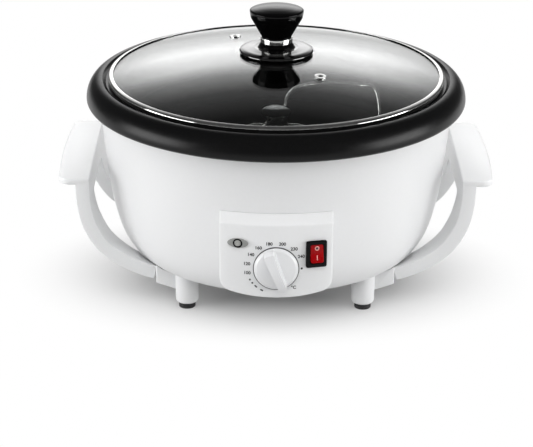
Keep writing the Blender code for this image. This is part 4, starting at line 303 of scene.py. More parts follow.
# Lid
LID_DOME_RADIUS = 527.0 * MM
GLASS_THICKNESS = 3.0 * MM
BAND_RADIUS = 141.4 * MM
BAND_WALL = 0.8 * MM
BAND_LIP = 3.9 * MM
GLASS_RADIUS = BAND_RADIUS - BAND_WALL - GAP
GLASS_TOP_Z = (
    LID_SEAT_Z + GAP * 2 + BAND_WALL + GLASS_THICKNESS + LID_DOME_RADIUS - sqrt(LID_DOME_RADIUS**2 - GLASS_RADIUS**2)
)
VENT_HOLE_X = 35.4 * MM
VENT_HOLE_Y = 56.3 * MM
EYELET_FLANGE_RADIUS = 5.0 * MM
EYELET_TUBE_RADIUS = 3.1 * MM
EYELET_BORE_RADIUS = 2.1 * MM
EYELET_FLANGE = 0.8 * MM
SAUCER_RADIUS = 31.2 * MM
SAUCER_RIM_HEIGHT = 3.2 * MM
SAUCER_RECESS = 1.2 * MM
SAUCER_SHOULDER_RADIUS = 16.0 * MM
SAUCER_RIDGE_RADIUS = 18.5 * MM
SAUCER_BOTTOM_Z = GLASS_TOP_Z + GAP
SAUCER_TOP_Z = SAUCER_BOTTOM_Z + 5.2 * MM
COLLAR_RADIUS = 13.5 * MM
NECK_HEIGHT = 2.6 * MM
NECK_FOOT_RADIUS = 15.0 * MM
COLLAR_BOTTOM_Z = SAUCER_TOP_Z + NECK_HEIGHT + GAP
COLLAR_TOP_Z = COLLAR_BOTTOM_Z + 5.0 * MM
LID_KNOB_HEIGHT = 26.0 * MM
LID_KNOB_RADIUS = 22.6 * MM
LID_KNOB_RADIUS_SHARES = (0.0, 0.30, 0.55, 0.75, 0.88, 0.97, 1.0, 0.965, 0.880, 0.740, 0.630, 0.565)
LID_KNOB_HEIGHT_SHARES = (1.0, 0.990, 0.966, 0.933, 0.903, 0.872, 0.830, 0.640, 0.500, 0.280, 0.110, 0.0)
KNOB_GRIP_BORE = 11.0 * MM
LID_SCREW_RADIUS = 2.4 * MM

# Stirrer
SPINDLE_RADIUS = 4.0 * MM
HUB_RADIUS = 11.0 * MM
HUB_BOTTOM_Z = PAN_BOSS_Z + GAP + 1.4 * MM + RUNNING_GAP
HUB_TOP_Z = HUB_BOTTOM_Z + 15.0 * MM
CAP_NUT_RADIUS = 13.0 * MM
CAP_NUT_HEIGHT = 5.2 * MM
CAP_NUT_BORE_DEPTH = 3.0 * MM
CAP_NUT_RADIUS_SHARES = (0.0, 0.60, 0.90, 1.0)
CAP_NUT_HEIGHT_SHARES = (1.0, 0.92, 0.65, 0.40)
WIRE_RADIUS = 2.2 * MM
WIRE_FLOOR_GAP = 1.2 * MM
WIRE_REACH = 102.0 * MM
WIRE_UPPER_RISE = 25.0 * MM
WIRE_LOWER_RADIUS_SHARES = (0.10, 0.19, 0.36, 0.62, 0.84, 0.955)
WIRE_LOWER_TURN_SHARES = (0.0, 0.0, 0.04, 0.10, 0.20, 0.32)
WIRE_UPPER_RADIUS_SHARES = (1.0, 0.97, 0.80, 0.60, 0.40, 0.24, 0.15, 0.10)
WIRE_UPPER_TURN_SHARES = (0.47, 0.66, 0.94, 1.12, 1.18, 1.10, 1.02, 1.0)
WIRE_SWEEP = radians(64)
WIRE_SETTLE_START = 0.2
WIRE_SETTLE_SPAN = 0.3

# Gland
GLAND_Z = 70.0 * MM
GLAND_RADIUS = 7.2 * MM
GLAND_FLANGE_RADIUS = 10.5 * MM
GLAND_FLANGE = 3.0 * MM
GLAND_STAND_OFF = 0.6 * MM
GLAND_BORE_RADIUS = 4.5 * MM
GLAND_INNER = 4.0 * MM
GLAND_REACH = 8.5 * MM

SINK = 1.0 * MM
OVERRUN = 2.0 * MM
CORNERS = {"front_left": (-1, -1), "front_right": (1, -1), "rear_left": (-1, 1), "rear_right": (1, 1)}
AXIS = Matrix.Translation((0, AXIS_Y, 0))

def panel_place(x, z):
    """A frame on the panel's face whose -Y points straight out."""
    turn = asin(x / PANEL_RADIUS)
    place = Matrix.Translation((x, AXIS_Y - PANEL_RADIUS * cos(turn), z))
    return place @ Matrix.Rotation(turn, 4, "Z")


def at(x, y, z=0.0):
    """A place by its distance from the roaster's upright axis."""
    return AXIS @ Matrix.Translation((x, y, z))


OUTWARD = Matrix.Rotation(pi / 2, 4, "X")
CROSSWISE = Matrix.Rotation(pi / 2, 4, "Y")
DIAL_PLACE = panel_place(0, DIAL_Z) @ OUTWARD
SWITCH_PLACE = panel_place(SWITCH_X, SWITCH_Z)
LAMP_PLACE = panel_place(LAMP_X, LAMP_Z) @ OUTWARD
PIVOT = Matrix.Translation((0, 0, -PIVOT_DEPTH))
ROCKER_PLACE = SWITCH_PLACE @ OUTWARD @ PIVOT @ Matrix.Rotation(-ROCKER_TILT, 4, "X")


# Meshes


def linked(name, data):
    made = bpy.data.objects.new(name, data)
    bpy.context.scene.collection.objects.link(made)
    return made


def shade(mesh):
    """Smooth shading that leaves corners sharp."""
    mesh.shade_smooth()
    mesh.set_sharp_from_angle(angle=SHARP_ANGLE)


def from_bmesh(name, shape, smooth=True):
    mesh = bpy.data.meshes.new(name)
    shape.to_mesh(mesh)
    shape.free()
    made = linked(name, mesh)
    if smooth:
        shade(mesh)
    return made


def filleted(points, steps=FILLET_STEPS, closed=False):
    """A polyline whose corners (across, up, radius) are rounded by arcs of that radius."""
    count = len(points)
    line = []
    for index, (x, y, radius) in enumerate(points):
        if radius <= 0 or (not closed and index in (0, count - 1)):
            line.append((x, y))
            continue
        corner = Vector((x, y))
        before = Vector(points[index - 1][:2]) - corner
        after = Vector(points[(index + 1) % count][:2]) - corner
        half = before.angle(after) / 2
        reach = min(radius / max(sin(half) / cos(half), TINY), before.length / 2, after.length / 2)
        start = corner + before.normalized() * reach
        end = corner + after.normalized() * reach
        for step in range(steps + 1):
            t = step / steps
            spot = start * (1 - t) ** 2 + corner * 2 * t * (1 - t) + end * t**2
            line.append((spot.x, spot.y))
    return line


def smooth_curve(points, per_span):
    """A Catmull-Rom curve through points of any dimension."""
    spots = [Vector(point) for point in points]
    ends = [spots[0] * 2 - spots[1]] + spots + [spots[-1] * 2 - spots[-2]]
    curve = []
    for index in range(1, len(ends) - 2):
        before, start, end, after = ends[index - 1 : index + 3]
        for part in range(per_span):
            t = part / per_span
            bend = 2 * before - 5 * start + 4 * end - after
            twist = 3 * start - before - 3 * end + after
            curve.append((2 * start + (end - before) * t + bend * t**2 + twist * t**3) / 2)
    curve.append(spots[-1])
    return curve


def curve_by_shares(shares, width, bottom, height, per_span):
    """A smooth (across, up) line through shares of a width, and of a height above a bottom."""
    spots = [(width * across, bottom + height * up) for across, up in zip(*shares)]
    return [(max(spot.x, 0), spot.y) for spot in smooth_curve(spots, per_span)]


def arc(centre, wide, high, start, end, count):
    turns = [start + (end - start) * index / count for index in range(count + 1)]
    return [(centre[0] + wide * cos(turn), centre[1] + high * sin(turn)) for turn in turns]


def circle(radius, count):
    return arc((0, 0), radius, radius, 0, 2 * pi, count)[:-1]


def stadium(length, width):
    """An outline with two straight sides and two round ends."""
    half, ends = width / 2, length / 2 - width / 2
    right = arc((ends, 0), half, half, -pi / 2, pi / 2, 8)
    return right + arc((-ends, 0), half, half, pi / 2, pi * 1.5, 8)


def rounded_rectangle(width, height, radius):
    x, y = width / 2, height / 2
    return filleted([(-x, -y, radius), (x, -y, radius), (x, y, radius), (-x, y, radius)], 6, closed=True)


def shifted(line, distance):
    """The line moved to the left of its own direction."""
    moved = []
    for index, (x, y) in enumerate(line):
        ahead = Vector(line[min(index + 1, len(line) - 1)])
        behind = Vector(line[max(index - 1, 0)])
        along = (ahead - behind).normalized()
        moved.append((x - along.y * distance, y + along.x * distance))
    return moved


def lathe(name, profile, steps=LARGE_STEPS, place=None, closed=False):
    """A profile of (radius, z) points, running down its outer side, turned about Z and put in its place."""
    shape = bmesh.new()
    turns = [2 * pi * index / steps for index in range(steps)]
    rings = []
    for radius, z in profile:
        if radius < TINY:
            rings.append([shape.verts.new((0, 0, z))] * steps)
        else:
            rings.append([shape.verts.new((radius * cos(turn), radius * sin(turn), z)) for turn in turns])
    pairs = list(zip(rings, rings[1:]))
    if closed:
        pairs.append((rings[-1], rings[0]))
    for upper, lower in pairs:
        for index in range(steps):
            after = (index + 1) % steps
            corners = dict.fromkeys((upper[index], lower[index], lower[after], upper[after]))
            if len(corners) > 2:
                shape.faces.new(tuple(corners))
    made = from_bmesh(name, shape)
    if place is not None:
        made.data.transform(place)
    return made


def turned(name, points, steps=LARGE_STEPS, place=None, closed=False, rounding=FILLET_STEPS):
    """A lathed piece whose profile has (radius, z, rounding radius) corners."""
    return lathe(name, filleted(points, rounding, closed), steps, place, closed)


def prism(name, outline, low, high, place=None):
    """An outline in XY, extruded along Z from low to high."""
    shape = bmesh.new()
    ring = [shape.verts.new((x, y, low)) for x, y in outline]
    face = shape.faces.new(ring)
    face.normal_update()
    pulled = bmesh.ops.extrude_face_region(shape, geom=[face])
    moved = [thing for thing in pulled["geom"] if isinstance(thing, bmesh.types.BMVert)]
    bmesh.ops.translate(shape, verts=moved, vec=(0, 0, high - low))
    bmesh.ops.recalc_face_normals(shape, faces=shape.faces)
    if place is not None:
        bmesh.ops.transform(shape, matrix=place, verts=shape.verts)
    return from_bmesh(name, shape)


def plan_box(low, high):
    outline = [(low[0], low[1]), (high[0], low[1]), (high[0], high[1]), (low[0], high[1])]
    return prism("box", outline, low[2], high[2])


def tube(name, points, radius, sides=20):
    """A round tube along points, with frames carried along without twist."""
    shape = bmesh.new()
    spots = [Vector(point) for point in points]
    along = [(spots[min(i + 1, len(spots) - 1)] - spots[max(i - 1, 0)]).normalized() for i in range(len(spots))]
    across = along[0].orthogonal().normalized()
    turns = [2 * pi * index / sides for index in range(sides)]
    rings = []
    for spot, direction in zip(spots, along):
        across = (across - direction * across.dot(direction)).normalized()
        beside = direction.cross(across)
        rings.append([shape.verts.new(spot + (across * cos(t) + beside * sin(t)) * radius) for t in turns])
    for first, second in zip(rings, rings[1:]):
        for index in range(sides):
            after = (index + 1) % sides
            shape.faces.new((first[index], first[after], second[after], second[index]))
    shape.faces.new(rings[0][::-1])
    shape.faces.new(rings[-1])
    bmesh.ops.recalc_face_normals(shape, faces=shape.faces)
    return from_bmesh(name, shape)


def with_modifiers_applied(thing):
    bpy.context.view_layer.update()
    solved = thing.evaluated_get(bpy.context.evaluated_depsgraph_get())
    mesh = bpy.data.meshes.new_from_object(solved)
    thing.modifiers.clear()
    thing.data = mesh
    shade(mesh)
    return thing


def combine(target, other, operation="DIFFERENCE"):
    """A solved Boolean with another object, which is then removed."""
    step = target.modifiers.new("solve", "BOOLEAN")
    step.operation = operation
    step.object = other
    with_modifiers_applied(target)
    bpy.data.objects.remove(other, do_unlink=True)
    return target


def rod(target, radius, low, high, place=None, operation="DIFFERENCE"):
    """Cuts a round hole along its place's Z, or adds a round rod there."""
    line = [(0, high), (radius, high), (radius, low), (0, low)]
    return combine(target, lathe("rod", line, SMALL_STEPS, place), operation)


def rounded_edges(thing, width, segments=3, angle=radians(30)):
    step = thing.modifiers.new("round", "BEVEL")
    step.width = width
    step.segments = segments
    step.limit_method = "ANGLE"
    step.angle_limit = angle
    step.harden_normals = False
    return with_modifiers_applied(thing)


def everything(shape):
    return shape.verts[:] + shape.edges[:] + shape.faces[:]


def slice_along_x(thing, low, high, count):
    """Adds edge loops across a piece at even places along X."""
    shape = bmesh.new()
    shape.from_mesh(thing.data)
    for index in range(1, count):
        spot = (low + (high - low) * index / count, 0, 0)
        bmesh.ops.bisect_plane(shape, geom=everything(shape), dist=TINY, plane_co=spot, plane_no=(1, 0, 0))
    shape.to_mesh(thing.data)
    shape.free()


def paint(piece, body, finish):
    """Gives a piece its finish and rides it on its body."""
    piece.data.materials.clear()
    piece.data.materials.append(finish)
    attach(piece, body)


def dress(piece, body, slot_name, node):
    """Paints a piece from a slot of the record, and hides the CAD node that it stands for."""
    paint(piece, body, FINISHES[slot_name])
    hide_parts(node)


# Finishes

# The part of a noise's range that carries its look, and the detail of a gloss's noise
NOISE_LOW = 0.3
NOISE_HIGH = 0.7
GLOSS_DETAIL = 3


def fill(tree, node, inputs):
    """Sets a node's inputs: another node's output is linked, anything else is a value."""
    for socket, value in inputs.items():
        if isinstance(value, bpy.types.NodeSocket):
            tree.links.new(value, node.inputs[socket])
        else:
            node.inputs[socket].default_value = value


def add_node(tree, kind, inputs, output, **settings):
    """Adds a shader node and gives its output, by name."""
    node = tree.nodes.new("ShaderNode" + kind)
    for name, value in settings.items():
        setattr(node, name, value)
    fill(tree, node, inputs)
    return node.outputs[output]


def ramp(tree, source, stops):
    """A colour ramp of (place, colour) stops over a source."""
    colour = add_node(tree, "ValToRGB", {"Fac": source}, "Color")
    elements = colour.node.color_ramp.elements
    elements[0].position, elements[-1].position = stops[0][0], stops[-1][0]
    for place, _ in stops[1:-1]:
        elements.new(place)
    for element, (_, shade_there) in zip(elements, stops):
        element.color = (*shade_there, 1.0)
    return colour


def around(colour, amount):
    """Ramp stops a little darker and lighter than a colour."""
    darker = tuple(part * (1 - amount) for part in colour)
    lighter = tuple(min(1.0, part * (1 + amount)) for part in colour)
    return [(NOISE_LOW, darker), (NOISE_HIGH, lighter)]


def make_finish(name, colour, roughness, tone=None, gloss=None, skin=None, stretch=(1, 1, 1), sockets=None):
    """A Principled material whose tone, gloss and skin each follow a noise.

    The tone has (scale, detail, stops), the gloss (scale, least and most roughness), and the skin
    (scale, detail, strength, depth). A tone without detail is speckled.
    """
    material = bpy.data.materials.new(name)
    material.use_nodes = True
    tree = material.node_tree
    shader = tree.nodes["Principled BSDF"]
    where = add_node(tree, "Mapping", {"Vector": object_place(tree), "Scale": stretch}, "Vector")

    def noise(scale, detail):
        if not detail:
            return add_node(tree, "TexVoronoi", {"Vector": where, "Scale": scale}, "Distance")
        return add_node(tree, "TexNoise", {"Vector": where, "Scale": scale, "Detail": detail}, "Fac")

    fill(tree, shader, {"Base Color": (*colour, 1.0), "Roughness": roughness, **(sockets or {})})
    if tone:
        scale, detail, stops = tone
        fill(tree, shader, {"Base Color": ramp(tree, noise(scale, detail), stops)})
    if gloss:
        scale, least, most = gloss
        span = {"From Min": NOISE_LOW, "From Max": NOISE_HIGH, "To Min": least, "To Max": most}
        spread = add_node(tree, "MapRange", {"Value": noise(scale, GLOSS_DETAIL), **span}, "Result")
        fill(tree, shader, {"Roughness": spread})
    if skin:
        scale, detail, strength, depth = skin
        relief = {"Height": noise(scale, detail), "Strength": strength, "Distance": depth}
        fill(tree, shader, {"Normal": add_node(tree, "Bump", relief, "Normal")})
    return material


def object_place(tree):
    return add_node(tree, "TexCoord", {}, "Object")


def moulded_white(name, colour, roughness):
    """Glossy moulded plastic: even tone, a faint pigment mottle, slightly uneven gloss and a very fine skin."""
    sockets = {"IOR": 1.5, "Coat Weight": 0.14, "Coat Roughness": 0.10, "Subsurface Weight": 0.05}
    sockets["Subsurface Radius"] = (0.003, 0.003, 0.0034)
    gloss = (500, roughness * 0.9, roughness * 1.12)
    tone = (420, 3, around(colour, 0.006))
    return make_finish(name, colour, roughness, tone, gloss, (1300, 2, 0.05, 0.02 * MM), sockets=sockets)


def coated_black(name):
    """Satin non-stick coating, sprayed on metal: pepper-fine grain and mild gloss changes."""
    tone = (900, 0, [(0.0, (0.006, 0.006, 0.0064)), (0.5, (0.003, 0.003, 0.0032))])
    gloss, skin = (300, 0.285, 0.34), (1500, 3, 0.25, 0.02 * MM)
    sockets = {"IOR": 1.5, "Specular IOR Level": 0.2}
    return make_finish(name, (0.004, 0.004, 0.0042), 0.34, tone, gloss, skin, sockets=sockets)


def plain_plastic(name, colour, roughness, grain=0.3, level=0.5):
    gloss = (300, roughness * 0.85, min(1.0, roughness * 1.2))
    tone, skin = (180, 3, around(colour, 0.12)), (1400, 2, grain, 0.04 * MM)
    return make_finish(name, colour, roughness, tone, gloss, skin, sockets={"Specular IOR Level": level})


def metal(name, colour, roughness, scale, grain, stretch=(1, 1, 1)):
    """Metal with its grain drawn along one direction."""
    gloss = (scale, roughness * 0.8, roughness * 1.3)
    tone, skin = (scale, 4, around(colour, 0.06)), (scale, 4, grain, 0.02 * MM)
    return make_finish(name, colour, roughness, tone, gloss, skin, stretch, {"Metallic": 1.0})


def heater_steel(name):
    """Heater sheath: steel browned and blued by heat in bands."""
    stops = [(0.3, (0.20, 0.19, 0.20)), (0.5, (0.33, 0.28, 0.24)), (0.7, (0.36, 0.31, 0.29))]
    gloss, skin = (400, 0.42, 0.62), (900, 3, 0.3, 0.03 * MM)
    return make_finish(name, (0.3, 0.27, 0.25), 0.5, (30, 4, stops), gloss, skin, sockets={"Metallic": 1.0})


def clear_glass(name, colour, roughness, waviness):
    """Tempered glass: clear, with the slight roll wave that such sheets have."""
    gloss, skin = (90, roughness, roughness * 2), (9, 1, waviness, 0.2 * MM)
    sockets = {"Transmission Weight": 1.0, "IOR": 1.52}
    return make_finish(name, colour, roughness, None, gloss, skin, sockets=sockets)


def frosted_lens(name):
    """The neon lamp's window: milky, ribbed a little by its mould."""
    stops = [(NOISE_LOW, (0.40, 0.405, 0.385)), (NOISE_HIGH, (0.62, 0.625, 0.60))]
    sockets = {"Transmission Weight": 0.35, "IOR": 1.5}
    skin = (1500, 2, 0.3, 0.05 * MM)
    return make_finish(name, (0.52, 0.525, 0.50), 0.22, (900, 3, stops), None, skin, sockets=sockets)


def rubber(name):
    stops = [(NOISE_LOW, (0.010, 0.010, 0.011)), (NOISE_HIGH, (0.024, 0.024, 0.025))]
    gloss, skin = (500, 0.6, 0.85), (1100, 3, 0.5, 0.06 * MM)
    return make_finish(name, (0.015, 0.015, 0.016), 0.7, (200, 4, stops), gloss, skin)


def printed_ink(name, colour):
    """Pad-printed ink, slightly uneven in tone."""
    return make_finish(name, colour, 0.45, (700, 3, around(colour, 0.3)), None, (2500, 2, 0.2, 0.01 * MM))


# Each finish by its slot in the record, with what makes it and what that is told
RECIPES = {
    "white_plastic": (moulded_white, (0.80, 0.805, 0.81), 0.315),
    "white_knob": (moulded_white, (0.75, 0.755, 0.765), 0.20),
    "black_coating": (coated_black,),
    "black_rubber": (rubber,),
    "black_plastic": (plain_plastic, (0.0022, 0.0022, 0.0024), 0.30, 0.2, 0.12),
    "black_phenolic": (plain_plastic, (0.0016, 0.0016, 0.0017), 0.06, 0.01, 0.16),
    "red_plastic": (plain_plastic, (0.30, 0.001, 0.0025), 0.25, 0.05, 0.15),
    "grey_plastic": (plain_plastic, (0.27, 0.275, 0.265), 0.35),
    "terminal_white": (plain_plastic, (0.82, 0.81, 0.76), 0.5),
    "fuse_white": (plain_plastic, (0.8, 0.78, 0.72), 0.5),
    "polished_steel": (metal, (0.80, 0.80, 0.79), 0.09, 250, 0.04),
    "stirrer_steel": (metal, (0.72, 0.72, 0.70), 0.2, 500, 0.15),
    "zinc_plated_steel": (metal, (0.62, 0.62, 0.60), 0.34, 350, 0.3),
    "bright_aluminium": (metal, (0.8, 0.8, 0.81), 0.28, 120, 0.2, (1, 12, 1)),
    "brass": (metal, (0.75, 0.58, 0.26), 0.28, 200, 0.2, (1, 1, 8)),
    "heater_steel": (heater_steel,),
    "lid_glass": (clear_glass, (0.96, 0.98, 0.975), 0.004, 0.02),
    "clear_lens": (frosted_lens,),
    "bulb_glass": (clear_glass, (0.95, 0.6, 0.4), 0.05, 0.05),
}
FINISHES = {slot_name: make(slot_name, *told) for slot_name, (make, *told) in RECIPES.items()}
# The saucer's polished steel, darkened as painted shade so that its reflections come out dimmer
SHADED_CHROME = metal("chrome_with_painted_shade", (0.17, 0.17, 0.17), 0.09, 250, 0.04)
DARK_INK = printed_ink("dial_print", (0.012, 0.012, 0.013))
# Painted shade for the shadow line round the dial knob
KNOB_GAP_SHADE_INK = printed_ink("knob_gap_painted_shade", (0.022, 0.022, 0.023))
PALE_INK = printed_ink("switch_print", (0.80, 0.36, 0.33))

SLOT_OF = {entry["node"]: entry["material_slot"] for entry in frame["record"]["subparts"]}
for node_name, node in frame["nodes"].items():
    node.data.materials.clear()
    node.data.materials.append(FINISHES[SLOT_OF[node_name]])


# Bowl and pan


def bowl_line():
    """The bowl's outer side, smooth, from its rim down to the bottom."""
    shares = (SHELL_RADIUS_SHARES, SHELL_HEIGHT_SHARES)
    return curve_by_shares(shares, SHELL_TOP_RADIUS, SHELL_BOTTOM_Z, SHELL_TOP_Z - SHELL_BOTTOM_Z, 12)[::-1]


def bowl_radius(z):
    line = bowl_line()
    for (upper_radius, upper_z), (lower_radius, lower_z) in zip(line, line[1:]):
        if lower_z <= z <= upper_z:
            return lower_radius + (upper_radius - lower_radius) * (z - lower_z) / (upper_z - lower_z)
    return line[0][0]


GLAND_LEAN = atan2(bowl_radius(GLAND_Z + GLAND_RADIUS) - bowl_radius(GLAND_Z - GLAND_RADIUS), GLAND_RADIUS * 2)
GLAND_PLACE = at(0, bowl_radius(GLAND_Z), GLAND_Z) @ Matrix.Rotation(-pi / 2 - GLAND_LEAN, 4, "X")


def bowl_cutter():
    """The bowl's outer form and the gap round it, as a solid to cut its neighbours with."""
    side = [(radius + GAP, z - GAP) for radius, z in bowl_line()]
    return lathe("bowl_cutter", [(0, side[0][1])] + side + [(0, side[-1][1])], place=AXIS)


def tray_screw_spots():
    turns = (TRAY_SCREW_ANGLE, pi - TRAY_SCREW_ANGLE, pi + TRAY_SCREW_ANGLE, -TRAY_SCREW_ANGLE)
    return [(TRAY_SCREW_REACH * sin(turn), TRAY_SCREW_REACH * cos(turn)) for turn in turns]


def make_bowl():
    across = (SHELL_RIM_RADIUS - LIP_RADIUS) / (FLANGE_RADIUS - LIP_RADIUS - PAN_WALL)
    rim_z = FLANGE_EDGE_Z + (LIP_Z - FLANGE_EDGE_Z - PAN_WALL) * sqrt(1 - across**2) - RIM_GAP
    side = [(SHELL_RIM_RADIUS, rim_z)] + bowl_line()
    foot = [(*side[-2], 0), (*side[-1], BOWL_FOOT_ROUND), (SHELL_LIP_RADIUS, SHELL_BOTTOM_Z, 0)]
    line = side[:-1] + filleted(foot)[1:]
    bowl = lathe("outer_shell_smooth", line + shifted(line, -SHELL_WALL)[::-1], place=AXIS, closed=True)
    for spot in tray_screw_spots():
        rod(bowl, SHELL_BOSS_RADIUS, SHELL_BOTTOM_Z + SHELL_WALL / 2, SHELL_BOSS_TOP_Z, at(*spot), "UNION")
        rod(bowl, TRAY_SCREW_RADIUS + GAP, 0, LEG_TOP_Z + OVERRUN * 2, at(*spot))
    low = (-WINDOW_HALF_WIDTH, AXIS_Y - PANEL_RADIUS, WINDOW_BOTTOM_Z)
    high = (WINDOW_HALF_WIDTH, AXIS_Y - SHELL_LIP_RADIUS, WINDOW_TOP_Z)
    combine(bowl, plan_box(low, high))
    rod(bowl, GLAND_RADIUS + GAP, -GLAND_REACH, GLAND_FLANGE, GLAND_PLACE)
    dress(bowl, "base", "white_plastic", "outer_shell")


def make_pan():
    flange = arc((LIP_RADIUS, FLANGE_EDGE_Z), FLANGE_RADIUS - LIP_RADIUS, LIP_Z - FLANGE_EDGE_Z, pi / 2, 0, 28)
    roll = arc((FLANGE_RADIUS - ROLL_RADIUS, FLANGE_EDGE_Z), ROLL_RADIUS, ROLL_RADIUS, 0, ROLL_END, 14)
    well = [
        (PAN_BORE_RADIUS, PAN_BOSS_Z, 0),
        (PAN_BOSS_RADIUS, PAN_BOSS_Z, 1.0 * MM),
        (PAN_BOSS_FOOT_RADIUS, PAN_FLOOR_Z, 3.0 * MM),
        (PAN_FLOOR_RADIUS, PAN_FLOOR_Z, 8.0 * MM),
        (PAN_STEP_RADIUS, PAN_STEP_Z, 0.8 * MM),
        (PAN_STEP_RADIUS + PAN_STEP_WIDTH, PAN_STEP_Z + PAN_STEP_RISE, 0.8 * MM),
        (PAN_MOUTH_RADIUS, LID_SEAT_Z, 1.2 * MM),
        (LID_SEAT_RADIUS, LID_SEAT_Z, 0.7 * MM),
        (LIP_RADIUS, LIP_Z, 0.9 * MM),
        (*flange[1], 0),
    ]
    line = filleted(well, 8) + flange[2:] + roll[1:]
    pan = lathe("roasting_pan_smooth", line + shifted(line, -PAN_WALL)[::-1], place=AXIS, closed=True)
    dress(pan, "base", "black_coating", "roasting_pan")


def make_gland():
    inner_end = -SHELL_WALL - GLAND_INNER
    line = [
        (GLAND_BORE_RADIUS, GLAND_FLANGE, 0.8 * MM),
        (GLAND_FLANGE_RADIUS, GLAND_FLANGE, 1.2 * MM),
        (GLAND_FLANGE_RADIUS, GLAND_STAND_OFF, 0.2 * MM),
        (GLAND_RADIUS, GLAND_STAND_OFF, 0),
        (GLAND_RADIUS, inner_end, 0.3 * MM),
        (GLAND_BORE_RADIUS, inner_end, 0.3 * MM),
    ]
    gland = turned("cord_gland_smooth", line, SMALL_STEPS, GLAND_PLACE, closed=True)
    dress(gland, "base", "black_plastic", "cord_gland")


# Tray, feet and screws


def tongue(side_x, side_y, margin, depth):
    """A handle's tongue, or with a margin the pocket that it plugs into."""
    half_width = TONGUE_WIDTH / 2 + margin
    half_height = TONGUE_HEIGHT / 2 + margin
    xs = sorted((side_x * (BLOCK_END_X - depth), side_x * (BLOCK_END_X + SINK)))
    y = AXIS_Y + side_y * HANDLE_SCREW_Y
    return plan_box((xs[0], y - half_width, TONGUE_Z - half_height), (xs[1], y + half_width, TONGUE_Z + half_height))


def make_tray():
    rim = (TRAY_RADIUS, TRAY_TOP_Z, 0.5 * MM), (TRAY_RADIUS, TRAY_BOTTOM_Z, 1.2 * MM)
    tray = turned("base_tray_smooth", [(0, TRAY_TOP_Z, 0), *rim, (0, TRAY_BOTTOM_Z, 0)], place=AXIS)
    leg_side = (LEG_RADIUS, LEG_TOP_Z, 0), (LEG_RADIUS, FOOT_HEIGHT, LEG_FOOT_ROUND)
    leg_line = [(0, LEG_TOP_Z, 0), *leg_side, (0, FOOT_HEIGHT, 0)]
    block_side = [
        (BLOCK_START_X, BLOCK_BOTTOM_Z),
        (BLOCK_SLOPE_X, BLOCK_BOTTOM_Z),
        (BLOCK_END_X, BLOCK_END_Z),
        (BLOCK_END_X, LEG_TOP_Z + GAP),
        (BLOCK_START_X, LEG_TOP_Z + GAP),
    ]
    for side_x, side_y in CORNERS.values():
        leg_place = at(side_x * LEG_X, side_y * LEG_Y)
        leg = turned("leg", leg_line, MEDIUM_STEPS, leg_place)
        block = prism("block", block_side, -BLOCK_FRONT_Y, -BLOCK_BACK_Y, OUTWARD)
        rounded_edges(block, 0.9 * MM)
        block.data.transform(AXIS @ Matrix.Diagonal((side_x, side_y, 1, 1)))
        if side_x * side_y < 0:
            block.data.flip_normals()
        combine(leg, block, "UNION")
        combine(leg, bowl_cutter())
        combine(tray, leg, "UNION")
        rod(tray, STUD_RADIUS + GAP, 0, FOOT_HEIGHT + STUD_HEIGHT + GAP, leg_place)
        combine(tray, tongue(side_x, side_y, GAP, TONGUE_LENGTH + GAP))
        screw_place = at(side_x * HANDLE_SCREW_X, side_y * HANDLE_SCREW_Y)
        rod(tray, HANDLE_SCREW_RADIUS + GAP, 0, TONGUE_Z, screw_place)
        rod(tray, HANDLE_SCREW_HEAD_RADIUS + GAP, 0, HANDLE_SCREW_SEAT_Z, screw_place)
    for spot in tray_screw_spots():
        rod(tray, TRAY_SCREW_RADIUS + GAP, 0, LEG_TOP_Z, at(*spot))
    for index in range(VENT_COUNT):
        turn = Matrix.Rotation(2 * pi * (index + VENT_PHASE) / VENT_COUNT, 4, "Z")
        place = AXIS @ turn @ Matrix.Translation((VENT_REACH + VENT_LENGTH / 2, 0, 0))
        slot = stadium(VENT_LENGTH, VENT_WIDTH)
        combine(tray, prism("slot", slot, TRAY_BOTTOM_Z - OVERRUN, TRAY_TOP_Z + OVERRUN, place))
    dress(tray, "base", "white_plastic", "base_tray")


def make_feet():
    top = FOOT_HEIGHT - GAP
    line = [
        (0, top + STUD_HEIGHT, 0),
        (STUD_RADIUS, top + STUD_HEIGHT, 0.6 * MM),
        (STUD_RADIUS, top, 0.2 * MM),
        (FOOT_RADIUS, top, 0.4 * MM),
        (FOOT_RADIUS, 0, 0.9 * MM),
        (FOOT_CUP_RADIUS, 0, 0.3 * MM),
        (FOOT_CUP_RADIUS - FOOT_CUP_DEPTH, FOOT_CUP_DEPTH, 0.3 * MM),
        (0, FOOT_CUP_DEPTH, 0),
    ]
    for corner, (side_x, side_y) in CORNERS.items():
        foot = turned(f"foot_{corner}_smooth", line, MEDIUM_STEPS, at(side_x * LEG_X, side_y * LEG_Y))
        dress(foot, "base", "black_rubber", "foot_" + corner)


def make_screw(node, head_radius, head_height, radius, length, top_of_head, spot):
    """A pan-head screw that points up, with a cross recess in its head."""
    bottom, tip = top_of_head - head_height, top_of_head + length
    line = [
        (0, tip, 0),
        (radius * SCREW_TIP_SHARE, tip, 0),
        (radius, tip - radius, 0),
        (radius, top_of_head, 0),
        (head_radius, top_of_head, 0.2 * MM),
        (head_radius, bottom, head_height * SCREW_CROWN_SHARE),
        (0, bottom, 0),
    ]
    screw = turned(node + "_smooth", line, SMALL_STEPS)
    arm, half = head_radius * RECESS_ARM_SHARE, head_radius * RECESS_WIDTH_SHARE
    for wide, deep in ((arm, half), (half, arm)):
        low, high = (-wide, -deep, bottom - SINK), (wide, deep, bottom + head_height * RECESS_DEPTH_SHARE)
        combine(screw, plan_box(low, high))
    screw.data.transform(at(*spot) @ Matrix.Rotation(SCREW_TURN, 4, "Z"))
    dress(screw, "base", "zinc_plated_steel", node)


